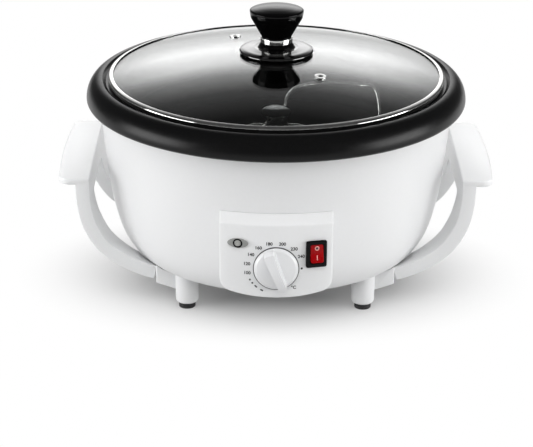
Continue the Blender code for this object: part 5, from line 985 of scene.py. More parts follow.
def make_base_screws():
    size = (TRAY_SCREW_HEAD_RADIUS, TRAY_SCREW_HEAD_HEIGHT, TRAY_SCREW_RADIUS, TRAY_SCREW_LENGTH)
    for index, spot in enumerate(tray_screw_spots()):
        make_screw(f"tray_screw_{index + 1}", *size, TRAY_BOTTOM_Z - GAP, spot)
    size = (HANDLE_SCREW_HEAD_RADIUS, HANDLE_SCREW_HEAD_HEIGHT, HANDLE_SCREW_RADIUS, HANDLE_SCREW_LENGTH)
    for corner, (side_x, side_y) in CORNERS.items():
        spot = (side_x * HANDLE_SCREW_X, side_y * HANDLE_SCREW_Y)
        make_screw("handle_screw_" + corner, *size, HANDLE_SCREW_SEAT_Z - GAP, spot)


# Handles


def arm_line():
    """The arm's centre line, seen from the side, from the block up to the grip."""
    start, foot_z = BLOCK_END_X + GAP, ARM_FOOT_Z
    reach, rise = ARM_TOP_X - BLOCK_END_X - GAP, HANDLE_TOP_Z - ARM_FOOT_Z
    spots = [(start + reach * x, foot_z + rise * up) for x, up in zip(ARM_REACH_SHARES, ARM_RISE_SHARES)]
    return smooth_curve(spots, 14)[::-1]


def along_line(line):
    """Distance along a line at each of its points."""
    distances = [0.0]
    for first, second in zip(line, line[1:]):
        distances.append(distances[-1] + (second - first).length)
    return distances


def bend_along(thing, line):
    """Bends a flat plate, with its length along X and its thickness along Z, onto a line in X and Z."""
    distances = along_line(line)
    for vertex in thing.data.vertices:
        reach = min(max(vertex.co.x, 0.0), distances[-1])
        index = 0
        while index < len(line) - 2 and distances[index + 1] < reach:
            index += 1
        share = (reach - distances[index]) / max(distances[index + 1] - distances[index], TINY)
        spot = line[index].lerp(line[index + 1], share)
        before = line[max(index - 1, 0)]
        after = line[min(index + 2, len(line) - 1)]
        ahead = (line[index + 1] - before).normalized().lerp((after - line[index]).normalized(), share)
        ahead.normalize()
        side = Vector((ahead.y, -ahead.x))
        vertex.co = (spot.x + side.x * vertex.co.z, vertex.co.y, spot.y + side.y * vertex.co.z)


def grip_plate():
    """The flat grip: square against the bowl, bowed on its outer side, round on all its edges."""
    inner = ARM_TOP_X - ARM_THICKNESS / 2 - GRIP_INNER_SINK
    corner_y = HANDLE_HALF_WIDTH - GRIP_CORNER_RADIUS
    corner = arc((GRIP_END_X - GRIP_CORNER_RADIUS, corner_y), GRIP_CORNER_RADIUS, GRIP_CORNER_RADIUS, pi / 2, 0, 12)
    bow = GRIP_MIDDLE_X - GRIP_END_X
    side = [(GRIP_END_X + bow * (1 - (step / 12) ** 2), corner_y * step / 12) for step in range(11, -1, -1)]
    half = [(inner, HANDLE_HALF_WIDTH)] + corner + side
    outline = half + [(x, -y) for x, y in half[-2::-1]]
    plate = prism("grip", outline, HANDLE_TOP_Z - GRIP_THICKNESS, HANDLE_TOP_Z)
    return rounded_edges(plate, GRIP_EDGE_ROUND, 4, radians(50))


def make_handle(node, side):
    line = arm_line()
    distances = along_line(line)
    length = distances[-1] - ARM_TOP_SINK
    heights = (OPENING_FOOT_Z, OPENING_NARROW_Z, OPENING_TOP_Z)
    reaches = [next((far for spot, far in zip(line, distances) if spot.y >= z), length) for z in heights]
    half = HANDLE_HALF_WIDTH - ARM_SIDE_SINK
    foot = HANDLE_HALF_WIDTH - ARM_FOOT_DEPTH
    neck = HANDLE_HALF_WIDTH - ARM_TOP_DEPTH
    edge = [
        (length, half, 0),
        (0, half, 1.0 * MM),
        (0, foot, 1.0 * MM),
        (reaches[0], foot, 12.0 * MM),
        (reaches[1], neck, 12.0 * MM),
        (reaches[2], neck, OPENING_CORNER),
    ]
    outline = filleted(edge + [(x, -y, radius) for x, y, radius in edge[::-1]], 6, closed=True)
    plate = prism("plate", outline, -ARM_THICKNESS / 2, ARM_THICKNESS / 2)
    rounded_edges(plate, ARM_EDGE_ROUND, 4, radians(50))
    slice_along_x(plate, 0, length, 70)
    bend_along(plate, line)
    combine(plate, grip_plate(), "UNION")
    low = (ARM_TOP_X - ARM_THICKNESS / 2 + GRIP_WALL, -neck, OPENING_TOP_Z - OPENING_CORNER)
    high = (GRIP_END_X, neck, HANDLE_TOP_Z - GRIP_THICKNESS - SINK)
    combine(plate, rounded_edges(plan_box(low, high), GRIP_RECESS_ROUND, 4))
    plate.data.transform(AXIS @ Matrix.Rotation(0 if side > 0 else pi, 4, "Z"))
    combine(plate, bowl_cutter())
    for side_y in (-1, 1):
        combine(plate, tongue(side, side_y, 0, TONGUE_LENGTH), "UNION")
        rod(plate, HANDLE_SCREW_RADIUS + GAP, 0, LEG_TOP_Z, at(side * HANDLE_SCREW_X, side_y * HANDLE_SCREW_Y))
    plate.name = node + "_smooth"
    dress(plate, "base", "white_plastic", node)


# Control panel


def bend_to_panel(thing, lift=0.0):
    """Bends a flat piece, drawn in X and Y with its front along Z, round the panel's face."""
    for vertex in thing.data.vertices:
        x, z, depth = vertex.co.x, vertex.co.y, -vertex.co.z
        vertex.co = (x, AXIS_Y - sqrt((PANEL_RADIUS + lift - depth) ** 2 - x**2), z)


def panel_plate(inset, depth_start, depth_end, edge_round):
    """The panel's front view as a plate, slanted at its top and bent to the panel's radius."""
    half_width = PANEL_HALF_WIDTH - inset
    bottom = PANEL_BOTTOM_Z + inset
    shares = (PANEL_WIDTH_SHARES, PANEL_RISE_SHARES)
    curve = curve_by_shares(shares, half_width, bottom, PANEL_SIDE_RISE, 6)
    half = curve[:-1] + [(half_width, bottom + PANEL_SIDE_RISE), (half_width, PANEL_TOP_Z - inset)]
    outline = half + [(-x, z) for x, z in half[:0:-1]]
    plate = prism("panel_plate", outline, -depth_end, -depth_start)
    slope = (PANEL_RADIUS - PANEL_TOP_RADIUS) / (PANEL_TOP_Z - PANEL_FACE_TOP_Z)
    shape = bmesh.new()
    shape.from_mesh(plate.data)
    spot = (0, PANEL_FACE_TOP_Z - inset, -depth_start)
    normal = Vector((0, slope, 1)).normalized()
    cut = bmesh.ops.bisect_plane(
        shape, geom=everything(shape), plane_co=spot, plane_no=normal, clear_outer=True
    )
    edges = [thing for thing in cut["geom_cut"] if isinstance(thing, bmesh.types.BMEdge)]
    bmesh.ops.contextual_create(shape, geom=edges)
    bmesh.ops.recalc_face_normals(shape, faces=shape.faces)
    shape.to_mesh(plate.data)
    shape.free()
    if edge_round:
        rounded_edges(plate, edge_round, 4, radians(25))
    slice_along_x(plate, -half_width, half_width, 60)
    bend_to_panel(plate)
    return plate


def make_panel():
    panel = panel_plate(0, 0, PANEL_DEPTH, PANEL_EDGE_ROUND)
    combine(panel, panel_plate(PANEL_WALL, PANEL_WALL, PANEL_DEPTH + SINK, 0))
    combine(panel, bowl_cutter())
    rod(panel, NECK_RADIUS + GAP, -PANEL_WALL * 2, PANEL_WALL, DIAL_PLACE)
    wide, high = SWITCH_BODY_WIDTH / 2 + GAP, SWITCH_BODY_HEIGHT / 2 + GAP
    hole = plan_box((-wide, -PANEL_WALL, -high), (wide, PANEL_WALL * 2, high))
    hole.data.transform(SWITCH_PLACE)
    combine(panel, hole)
    rod(panel, LAMP_STEM_RADIUS + GAP, -PANEL_WALL * 2, PANEL_WALL, LAMP_PLACE)
    panel.name = "control_panel_smooth"
    dress(panel, "base", "white_plastic", "control_panel")


# Dial


def clock(degrees, share=1.0):
    """A place in the print round the dial, clockwise from its top."""
    turn = radians(degrees)
    across, up = PRINT_HALF_WIDTH * share * sin(turn), PRINT_HALF_HEIGHT * share * cos(turn)
    return Matrix.Translation((PRINT_CENTRE_X + across, PRINT_CENTRE_Z + up, 0))


def print_on_panel(made):
    """Bends a flat print onto the panel's face and inks it."""
    along = [vertex.co.x for vertex in made.data.vertices]
    low, high = min(along), max(along)
    slice_along_x(made, low, high, max(2, round((high - low) / MM)))
    bend_to_panel(made, PRINT_LIFT)
    paint(made, "base", DARK_INK)


def print_text(name, text, place):
    letters = bpy.data.curves.new(name, "FONT")
    letters.body = text
    letters.size = DIGIT_HEIGHT / CAPITAL_SHARE
    letters.align_x = "CENTER"
    letters.align_y = "CENTER"
    letters.extrude = PRINT_THICKNESS / 2
    letters.offset = PRINT_WEIGHT
    made = linked(name, letters)
    bpy.context.view_layer.update()
    mesh = bpy.data.meshes.new_from_object(made.evaluated_get(bpy.context.evaluated_depsgraph_get()))
    bpy.data.objects.remove(made, do_unlink=True)
    mesh.transform(place)
    print_on_panel(linked(name, mesh))


def make_dial_print():
    for text, degrees in DIAL_NUMBERS:
        print_text("dial_number_" + text, text, clock(degrees))
    print_text("dial_unit", "°C", clock(UNIT_ANGLE))
    marks = [(f"dial_dot_{index + 1}", circle(DOT_RADIUS, 24), clock(turn)) for index, turn in enumerate(DOT_ANGLES)]
    marks.append(("dial_dot_end", circle(END_DOT_RADIUS, 24), clock(END_DOT_ANGLE, END_DOT_SHARE)))
    for index, degrees in enumerate(DASH_ANGLES):
        place = clock(degrees) @ Matrix.Rotation(-radians(degrees), 4, "Z")
        marks.append((f"dial_dash_{index + 1}", stadium(DASH_LENGTH, DASH_THICKNESS), place))
    for name, outline, place in marks:
        print_on_panel(prism(name, outline, -PRINT_THICKNESS / 2, PRINT_THICKNESS / 2, place))


def make_knob_grip(low):
    """The dial knob's grip bar: tapered in plan and in height, under a shallow crown."""
    half, tail, tip = KNOB_GRIP_LENGTH / 2, KNOB_GRIP_TAIL_WIDTH / 2, KNOB_GRIP_TIP_WIDTH / 2
    shoulder, nose = half * KNOB_GRIP_SHOULDER_SHARE, half * KNOB_GRIP_NOSE_SHARE
    plan = [(-tail, -half), (tail, -half), (tip, shoulder), (0, nose), (-tip, shoulder)]
    corners = [(x, y, radius * MM) for (x, y), radius in zip(plan, KNOB_GRIP_CORNERS)]
    grip = prism("grip", filleted(corners, 5, closed=True), low, KNOB_GRIP_HEIGHT)
    for vertex in grip.data.vertices:
        rise = (vertex.co.z - low) / (KNOB_GRIP_HEIGHT - low)
        vertex.co.x *= 1 - GRIP_DRAFT_SHARE * rise
        vertex.co.y *= 1 - GRIP_END_DRAFT_SHARE * rise
    rounded_edges(grip, 1.0 * MM, 4, radians(40))
    reach, steps = half * GRIP_CROWN_REACH_SHARE, 16
    dome = [(reach * step / steps, KNOB_GRIP_HEIGHT - GRIP_CROWN * (step / steps) ** 2) for step in range(steps + 1)]
    return combine(grip, lathe("dome", dome + [(reach, -OVERRUN), (0, -OVERRUN)], MEDIUM_STEPS), "INTERSECT")


def make_dial_knob():
    back, skirt = GAP, GAP + KNOB_SKIRT
    pocket = back + KNOB_POCKET_DEPTH
    shares = (KNOB_DOME_RADIUS_SHARES, KNOB_DOME_RISE_SHARES)
    dome = curve_by_shares(shares, KNOB_RADIUS, skirt, KNOB_DOME_HEIGHT - KNOB_SKIRT, 8)
    under = [
        (*dome[-1], 0),
        (KNOB_RADIUS, back, 0.5 * MM),
        (KNOB_POCKET_RADIUS, back, 0),
        (KNOB_POCKET_RADIUS, pocket, 0),
        (0, pocket, 0),
    ]
    knob = lathe("temperature_knob_smooth", dome[:-1] + filleted(under), MEDIUM_STEPS)
    combine(knob, make_knob_grip(pocket + SINK), "UNION")
    rod(knob, SHAFT_RADIUS + GAP, -OVERRUN, SHAFT_REACH + GAP)
    knob.data.transform(DIAL_PLACE @ Matrix.Rotation(-KNOB_OFF_ANGLE, 4, "Z"))
    # The dark ring at the skirt's edge is painted shade, where the gap round the knob would throw its shadow line
    inner = KNOB_SHADE_RING_RADIUS - KNOB_SHADE_RING_WIDTH
    shade_ring_line = [
        (KNOB_SHADE_RING_RADIUS, skirt, 0.2 * MM),
        (KNOB_SHADE_RING_RADIUS, skirt - KNOB_SHADE_RING_HEIGHT, 0.2 * MM),
        (inner, skirt - KNOB_SHADE_RING_HEIGHT, 0),
        (inner, skirt + 0.35 * MM, 0.1 * MM),
    ]
    shade_ring = turned("temperature_knob_shade_ring", shade_ring_line, MEDIUM_STEPS, DIAL_PLACE, closed=True, rounding=3)
    paint(shade_ring, "temperature_dial", KNOB_GAP_SHADE_INK)
    dress(knob, "temperature_dial", "white_knob", "temperature_knob")


# Switch and lamp


def make_switch():
    rim = rounded_rectangle(BEZEL_WIDTH, BEZEL_HEIGHT, BEZEL_CORNER)
    bezel = prism("switch_housing_smooth", rim, GAP, BEZEL_PROUD, Matrix.Translation((-BEZEL_SHIFT, 0, 0)))
    rounded_edges(bezel, 0.6 * MM, 3, radians(50))
    body = rounded_rectangle(SWITCH_BODY_WIDTH, SWITCH_BODY_HEIGHT, 0.5 * MM)
    combine(bezel, prism("body", body, -SWITCH_BODY_DEPTH, BEZEL_PROUD / 2), "UNION")
    room = RUNNING_GAP * 2
    pocket = rounded_rectangle(ROCKER_WIDTH + room, (ROCKER_HALF_HEIGHT + room) * 2, ROCKER_CORNER)
    combine(bezel, prism("pocket", pocket, -POCKET_DEPTH, BEZEL_PROUD + OVERRUN))
    rod(bezel, PIN_RADIUS + GAP, -PIN_REACH - GAP, PIN_REACH + GAP, PIVOT @ CROSSWISE)
    bezel.data.transform(SWITCH_PLACE @ OUTWARD)
    dress(bezel, "base", "black_plastic", "switch_housing")


def rocker_face(z):
    """Height of the rocker's face above its pivot at a place along it."""
    share = abs(z) / ROCKER_HALF_HEIGHT
    return ROCKER_CREST + (ROCKER_END_RISE - ROCKER_CREST) * share**ROCKER_FACE_POWER


def make_rocker():
    top = ROCKER_HALF_HEIGHT
    face = [(top * step / 12, rocker_face(top * step / 12)) for step in range(-12, 13)]
    shoulder, root = top * ROCKER_SHOULDER_SHARE, top * ROCKER_ROOT_SHARE
    side = face + [(shoulder, 0), (root, -ROCKER_ROOT), (-root, -ROCKER_ROOT), (-shoulder, 0)]
    turn = Matrix(((0, 0, 1, 0), (1, 0, 0, 0), (0, 1, 0, 0), (0, 0, 0, 1)))
    rocker = prism("power_rocker_smooth", side, -ROCKER_WIDTH / 2, ROCKER_WIDTH / 2, turn)
    plan = rounded_rectangle(ROCKER_WIDTH, ROCKER_HALF_HEIGHT * 2, ROCKER_CORNER)
    combine(rocker, prism("plan", plan, -OVERRUN * 2, BEZEL_PROUD * 4), "INTERSECT")
    rounded_edges(rocker, 0.35 * MM, 3, radians(50))
    rod(rocker, PIN_RADIUS, -PIN_REACH, PIN_REACH, CROSSWISE, "UNION")
    rocker.data.transform(ROCKER_PLACE)
    dress(rocker, "rocker", "red_plastic", "power_rocker")
    make_rocker_marks()


def make_rocker_marks():
    """The O, with the dark dot inside it, and the I."""
    hollow, thick = MARK_RING_RADIUS - MARK_RING_STROKE, PRINT_THICKNESS
    off_place = Matrix.Translation((0, MARK_OFF_Y, 0))
    on_place = Matrix.Translation((0, MARK_ON_Y, 0))
    profile = [(MARK_RING_RADIUS, thick), (MARK_RING_RADIUS, 0), (hollow, 0), (hollow, thick)]
    ring = lathe("rocker_mark_off", profile, SMALL_STEPS, off_place, closed=True)
    bar_outline = rounded_rectangle(MARK_BAR_WIDTH, MARK_BAR_LENGTH, MARK_BAR_WIDTH / 2.1)
    bar = prism("rocker_mark_on", bar_outline, 0, thick, on_place)
    dot = [(0, thick), (hollow - GAP / 2, thick), (hollow - GAP / 2, 0)]
    centre = lathe("rocker_mark_centre", dot, SMALL_STEPS, off_place)
    for mark, ink in ((ring, PALE_INK), (bar, PALE_INK), (centre, DARK_INK)):
        for vertex in mark.data.vertices:
            vertex.co.z += rocker_face(vertex.co.y) - thick / 3
        mark.data.transform(ROCKER_PLACE)
        paint(mark, "rocker", ink)


def lamp_outline():
    """The lamp's plate: an ellipse a little drawn out towards its two ends."""
    outline = []
    for x, y in circle(1, 72):
        up = abs(y) ** (1 / LAMP_PLATE_POINT_SHARE)
        outline.append((LAMP_PLATE_WIDTH / 2 * x, LAMP_PLATE_HEIGHT / 2 * (up if y >= 0 else -up)))
    return outline


def make_lamp():
    plate = prism("lamp_bezel_smooth", lamp_outline(), GAP, LAMP_PLATE_PROUD)
    rounded_edges(plate, 0.35 * MM, 3, radians(50))
    collar_line = [
        (0, LAMP_COLLAR_PROUD, 0),
        (LAMP_COLLAR_RADIUS, LAMP_COLLAR_PROUD, 0.3 * MM),
        (LAMP_COLLAR_RADIUS, GAP * 2, 0),
        (0, GAP * 2, 0),
    ]
    combine(plate, turned("collar", collar_line, SMALL_STEPS), "UNION")
    rod(plate, LAMP_STEM_RADIUS, -LAMP_STEM_DEPTH, LAMP_PLATE_PROUD / 2, operation="UNION")
    window = LAMP_COLLAR_RADIUS - LAMP_COLLAR_WALL
    rod(plate, window, -LAMP_STEM_DEPTH - OVERRUN, LAMP_PLATE_PROUD * 4)
    plate.data.transform(LAMP_PLACE)
    dress(plate, "base", "grey_plastic", "lamp_bezel")
    outer, inner, front = LAMP_COLLAR_RADIUS + PRINT_LIFT, window - PRINT_LIFT, LAMP_COLLAR_PROUD + PRINT_LIFT
    ring_line = [
        (outer, LAMP_COLLAR_PROUD - 0.3 * MM, 0),
        (outer, front, 0.3 * MM),
        (inner, front, 0.2 * MM),
        (inner, LAMP_COLLAR_PROUD - 0.5 * MM, 0),
    ]
    ring = lathe("lamp_ring", filleted(ring_line)[::-1], SMALL_STEPS, LAMP_PLACE)
    paint(ring, "base", FINISHES["black_plastic"])
    rise, radius = LAMP_LENS_PROUD - LAMP_PLATE_PROUD, window - GAP / 2
    curve = arc((0, LAMP_PLATE_PROUD), radius, rise, pi / 2, 0, 10)
    lens = lathe("lamp_lens_smooth", curve + [(radius, -LENS_DEPTH), (0, -LENS_DEPTH)], SMALL_STEPS, LAMP_PLACE)
    dress(lens, "base", "clear_lens", "lamp_lens")


# Lid


def dome_z(radius):
    return GLASS_TOP_Z - LID_DOME_RADIUS + sqrt(LID_DOME_RADIUS**2 - radius**2)


def vent_place(side):
    x, y = -side * VENT_HOLE_X, side * VENT_HOLE_Y
    reach = hypot(x, y)
    turn = Matrix.Rotation(atan2(y, x), 4, "Z")
    return at(x, y, dome_z(reach)) @ turn @ Matrix.Rotation(asin(reach / LID_DOME_RADIUS), 4, "Y")


def make_glass():
    hole = LID_SCREW_RADIUS + GAP
    radii = [hole + (GLASS_RADIUS - hole) * step / 48 for step in range(49)]
    top = [(radius, dome_z(radius)) for radius in radii]
    bottom = [(radius, z - GLASS_THICKNESS) for radius, z in top]
    corners = [(*top[-2], 0), (*top[-1], 0.8 * MM), (*bottom[-1], 0.8 * MM), (*bottom[-2], 0)]
    line = top[:-2] + filleted(corners) + bottom[-3::-1]
    glass = lathe("lid_glass_smooth", line, place=AXIS, closed=True)
    for side in (-1, 1):
        rod(glass, EYELET_TUBE_RADIUS + GAP, -GLASS_THICKNESS - OVERRUN, OVERRUN, vent_place(side))
    dress(glass, "lid", "lid_glass", "lid_glass")


def make_eyelets():
    below = -GLASS_THICKNESS - GAP
    line = [
        (EYELET_BORE_RADIUS, GAP + EYELET_FLANGE, 0.4 * MM),
        (EYELET_FLANGE_RADIUS, GAP + EYELET_FLANGE, 0.6 * MM),
        (EYELET_FLANGE_RADIUS, GAP, 0.1 * MM),
        (EYELET_TUBE_RADIUS, GAP, 0),
        (EYELET_TUBE_RADIUS, below, 0),
        (EYELET_FLANGE_RADIUS, below, 0.1 * MM),
        (EYELET_FLANGE_RADIUS, below - EYELET_FLANGE, 0.6 * MM),
        (EYELET_BORE_RADIUS, below - EYELET_FLANGE, 0.4 * MM),
    ]
    for place_name, side in (("front", -1), ("rear", 1)):
        node = "lid_vent_eyelet_" + place_name
        eyelet = turned(node + "_smooth", line, SMALL_STEPS, vent_place(side), closed=True, rounding=4)
        dress(eyelet, "lid", "polished_steel", node)


def make_band():
    outer, wall = BAND_RADIUS, BAND_WALL
    lip, inner = outer - BAND_LIP, outer - wall
    above, above_lip = dome_z(inner - GAP) + GAP, dome_z(lip) + GAP
    below, below_lip = above - GLASS_THICKNESS - GAP * 2, above_lip - GLASS_THICKNESS - GAP * 2
    line = [
        (lip, above_lip + wall, 0.35 * MM),
        (outer - 0.6 * MM, above + wall, 1.2 * MM),
        (outer, above - 0.4 * MM, 0.8 * MM),
        (outer, below + 0.2 * MM, 0.8 * MM),
        (outer - wall / 2, below - wall, 0.5 * MM),
        (lip, below_lip - wall, 0.3 * MM),
        (lip, below_lip, 0.1 * MM),
        (inner, below, 0.2 * MM),
        (inner, above, 0.2 * MM),
        (lip, above_lip, 0.1 * MM),
    ]
    band = turned("lid_rim_band_smooth", line, place=AXIS, closed=True, rounding=4)
    dress(band, "lid", "polished_steel", "lid_rim_band")


def make_lid_knob():
    hole = LID_SCREW_RADIUS + GAP
    rim_inner = SAUCER_RADIUS - SAUCER_RIM_HEIGHT
    rim_bottom = dome_z(rim_inner) + GAP
    rim_top = rim_bottom + SAUCER_RIM_HEIGHT
    saucer = [
        (hole, SAUCER_TOP_Z, 0),
        (COLLAR_RADIUS + 0.6 * MM, SAUCER_TOP_Z, 0.6 * MM),
        (SAUCER_SHOULDER_RADIUS, SAUCER_TOP_Z - 1.4 * MM, 1.5 * MM),
        (SAUCER_RIDGE_RADIUS, SAUCER_TOP_Z - 1.1 * MM, 2.5 * MM),
        (SAUCER_RIDGE_RADIUS + 4.6 * MM, SAUCER_TOP_Z - 1.6 * MM, 12.0 * MM),
        (SAUCER_RADIUS - 3.7 * MM, rim_top + 0.8 * MM, 12.0 * MM),
        (SAUCER_RADIUS - 0.6 * MM, rim_top - 0.3 * MM, 1.2 * MM),
        (SAUCER_RADIUS, rim_top - 1.5 * MM, 1.0 * MM),
        (SAUCER_RADIUS - 0.8 * MM, rim_bottom, 0.6 * MM),
        (rim_inner, rim_bottom, 0.3 * MM),
        (rim_inner, rim_bottom + SAUCER_RECESS, 0),
        (COLLAR_RADIUS, SAUCER_BOTTOM_Z + SAUCER_RECESS, 0),
        (COLLAR_RADIUS, SAUCER_BOTTOM_Z, 0),
        (hole, SAUCER_BOTTOM_Z, 0),
    ]
    dish = turned("lid_knob_base_smooth", saucer, MEDIUM_STEPS, AXIS, closed=True, rounding=8)
    dress(dish, "lid", "polished_steel", "lid_knob_base")
    # Painted shade: the saucer gets the darkened copy of the polished steel, which dims its reflections
    dish.data.materials[0] = SHADED_CHROME
    collar = [
        (hole, COLLAR_TOP_Z, 0),
        (COLLAR_RADIUS, COLLAR_TOP_Z, 0.9 * MM),
        (COLLAR_RADIUS, COLLAR_BOTTOM_Z, 0.9 * MM),
        (hole, COLLAR_BOTTOM_Z, 0),
    ]
    ring = turned("lid_knob_collar_smooth", collar, MEDIUM_STEPS, AXIS, closed=True, rounding=6)
    dress(ring, "lid", "polished_steel", "lid_knob_collar")
    neck_line = [
        (hole, COLLAR_BOTTOM_Z - GAP / 2, 0),
        (COLLAR_RADIUS - 0.4 * MM, COLLAR_BOTTOM_Z - GAP / 2, 0.3 * MM),
        (NECK_FOOT_RADIUS, SAUCER_TOP_Z, 0.3 * MM),
        (hole, SAUCER_TOP_Z, 0),
    ]
    neck = turned("lid_knob_neck", neck_line, MEDIUM_STEPS, AXIS, closed=True, rounding=6)
    paint(neck, "lid", FINISHES["black_phenolic"])
    bottom, hole_top = COLLAR_TOP_Z + GAP, KNOB_GRIP_BORE - NECK_HEIGHT + COLLAR_TOP_Z + GAP * 2
    shares = (LID_KNOB_RADIUS_SHARES, LID_KNOB_HEIGHT_SHARES)
    line = curve_by_shares(shares, LID_KNOB_RADIUS, bottom, LID_KNOB_HEIGHT, 8)
    line += [(hole, bottom), (hole, hole_top), (0, hole_top)]
    dress(lathe("lid_knob_smooth", line, MEDIUM_STEPS, AXIS), "lid", "black_phenolic", "lid_knob")


# Stirrer


def wire_route():
    """One loop of the stirrer: out from the hub near the pan's floor, up, and back in above it."""
    low = PAN_FLOOR_Z + WIRE_FLOOR_GAP + WIRE_RADIUS
    hub_low = HUB_BOTTOM_Z + WIRE_RADIUS + SINK
    hub_high = HUB_TOP_Z - WIRE_RADIUS - SINK
    lower = (WIRE_LOWER_RADIUS_SHARES, WIRE_LOWER_TURN_SHARES, hub_low, low)
    upper = (WIRE_UPPER_RADIUS_SHARES, WIRE_UPPER_TURN_SHARES, hub_high, low + WIRE_UPPER_RISE)
    spots = []
    for radius_shares, turn_shares, hub_z, outer_z in (lower, upper):
        for share, turn_share in zip(radius_shares, turn_shares):
            settle = min(1.0, max(0.0, (share - WIRE_SETTLE_START) / WIRE_SETTLE_SPAN))
            radius, turn = share * WIRE_REACH, turn_share * WIRE_SWEEP
            spots.append((radius * cos(turn), radius * sin(turn), hub_z + (outer_z - hub_z) * settle))
    return [Vector((spot.x, spot.y, max(spot.z, low))) for spot in smooth_curve(spots, 8)]


def make_stirrer():
    hole = SPINDLE_RADIUS + GAP
    hub_line = [
        (hole, HUB_TOP_Z, 0.3 * MM),
        (HUB_RADIUS, HUB_TOP_Z, 1.2 * MM),
        (HUB_RADIUS, HUB_BOTTOM_Z, 1.2 * MM),
        (hole, HUB_BOTTOM_Z, 0.3 * MM),
    ]
    hub = turned("stirrer_hub_smooth", hub_line, MEDIUM_STEPS, closed=True)
    route = wire_route()
    for index, turn in enumerate((0, pi)):
        spin = Matrix.Rotation(turn, 4, "Z")
        spots = [spin @ spot for spot in route]
        for end, nearer in ((spots[0], spots[3]), (spots[-1], spots[-4])):
            ahead = (nearer - end).normalized()
            combine(hub, tube("socket", [end - ahead * GAP, end + ahead * HUB_RADIUS], WIRE_RADIUS + GAP))
        arm = tube(f"stirrer_arm_{index + 1}_smooth", spots, WIRE_RADIUS)
        arm.data.transform(AXIS)
        dress(arm, "stirrer", "stirrer_steel", f"stirrer_arm_{index + 1}")
    hub.data.transform(AXIS)
    dress(hub, "stirrer", "stirrer_steel", "stirrer_hub")
    bottom = HUB_TOP_Z + GAP
    top = HUB_TOP_Z + CAP_NUT_BORE_DEPTH + GAP
    shares = (CAP_NUT_RADIUS_SHARES, CAP_NUT_HEIGHT_SHARES)
    line = curve_by_shares(shares, CAP_NUT_RADIUS, bottom, CAP_NUT_HEIGHT, 6)
    line += [(CAP_NUT_RADIUS, bottom), (hole, bottom), (hole, top), (0, top)]
    nut = lathe("stirrer_cap_nut_smooth", line, MEDIUM_STEPS, AXIS)
    dress(nut, "stirrer", "black_phenolic", "stirrer_cap_nut")


make_pan()
make_bowl()
make_tray()
make_feet()
make_base_screws()
make_handle("right_handle", 1)
make_handle("left_handle", -1)
make_panel()
make_dial_print()
make_dial_knob()
make_switch()
make_rocker()
make_lamp()
make_glass()
make_band()
make_eyelets()
make_lid_knob()
make_stirrer()
make_gland()


# Studio

FLOOR_RADIUS = 2.4
# The seen floor's grey is a painted shadow under the roaster: the span over which it eases into white, its oval's
# stretch across, and its tone
PAINTED_SHADOW_FADE = (0.05, 0.15)
PAINTED_SHADOW_SHAPE = 0.65
PAINTED_SHADOW_TONE = 0.6
FLOOR_MOTTLE = 0.006
FLOOR_BOUNCE = 0.52

# Strengths of the world: the tent towards its brightest side, the backdrop and the front by height
TENT_TOWARD = (0.0, -0.5, 0.866)
TENT_STOPS = ((0.0, 0.75), (0.25, 0.62), (0.45, 0.34), (0.7, 0.18), (0.9, 0.22), (0.95, 1.7), (1.0, 3.1))
BACKDROP_STOPS = ((0.0, 0.85), (0.14, 1.5), (0.25, 2.6), (0.39, 2.3), (0.48, 1.0), (0.59, 0.28), (0.72, 0.05))
FRONT_STOPS = ((0.0, 0.10), (0.2, 0.08), (1.0, 0.05))
BACKDROP_DEPTH = (0.0, 0.75)
BACKDROP_SIDE = (0.38, 0.12)

# Soft lamps: place, target height, width and height, power
LAMPS_IN_REFLECTIONS = ("key_left", "key_right")
SOFT_LAMPS = {
    "key_left": ((-1.48, -0.45, 0.27), 0.12, (1.1, 0.8), 17.3),
    "key_right": ((1.48, -0.45, 0.27), 0.12, (1.1, 0.8), 17.3),
    "top": ((0.0, 0.15, 1.9), 0.1, (1.0, 1.0), 2.0),
    "back": ((0.0, 1.75, 0.5), 0.1, (1.6, 0.9), 11.0),
}


def maths(tree, operation, *values):
    return add_node(tree, "Math", dict(enumerate(values)), "Value", operation=operation)


def mixed(tree, factor, first, second):
    return add_node(tree, "MixShader", {"Fac": factor, 1: first, 2: second}, "Shader")


def eased(tree, source, start, end):
    """Eases from 0 at a start to 1 at an end, either of which may be the higher."""
    rising = start < end
    span = {"From Min": min(start, end), "From Max": max(start, end)}
    levels = {"To Min": float(not rising), "To Max": float(rising)}
    inputs = {"Value": source, **span, **levels}
    return add_node(tree, "MapRange", inputs, "Result", interpolation_type="SMOOTHSTEP")


def seen_ray(tree):
    """1 where the camera sees a thing, also by way of metal or glass, and 0 for light on its way to a matt surface."""
    seen = add_node(tree, "LightPath", {}, "Is Camera Ray")
    for kind in ("Is Glossy Ray", "Is Transmission Ray"):
        seen = maths(tree, "MAXIMUM", seen, add_node(tree, "LightPath", {}, kind))
    return seen


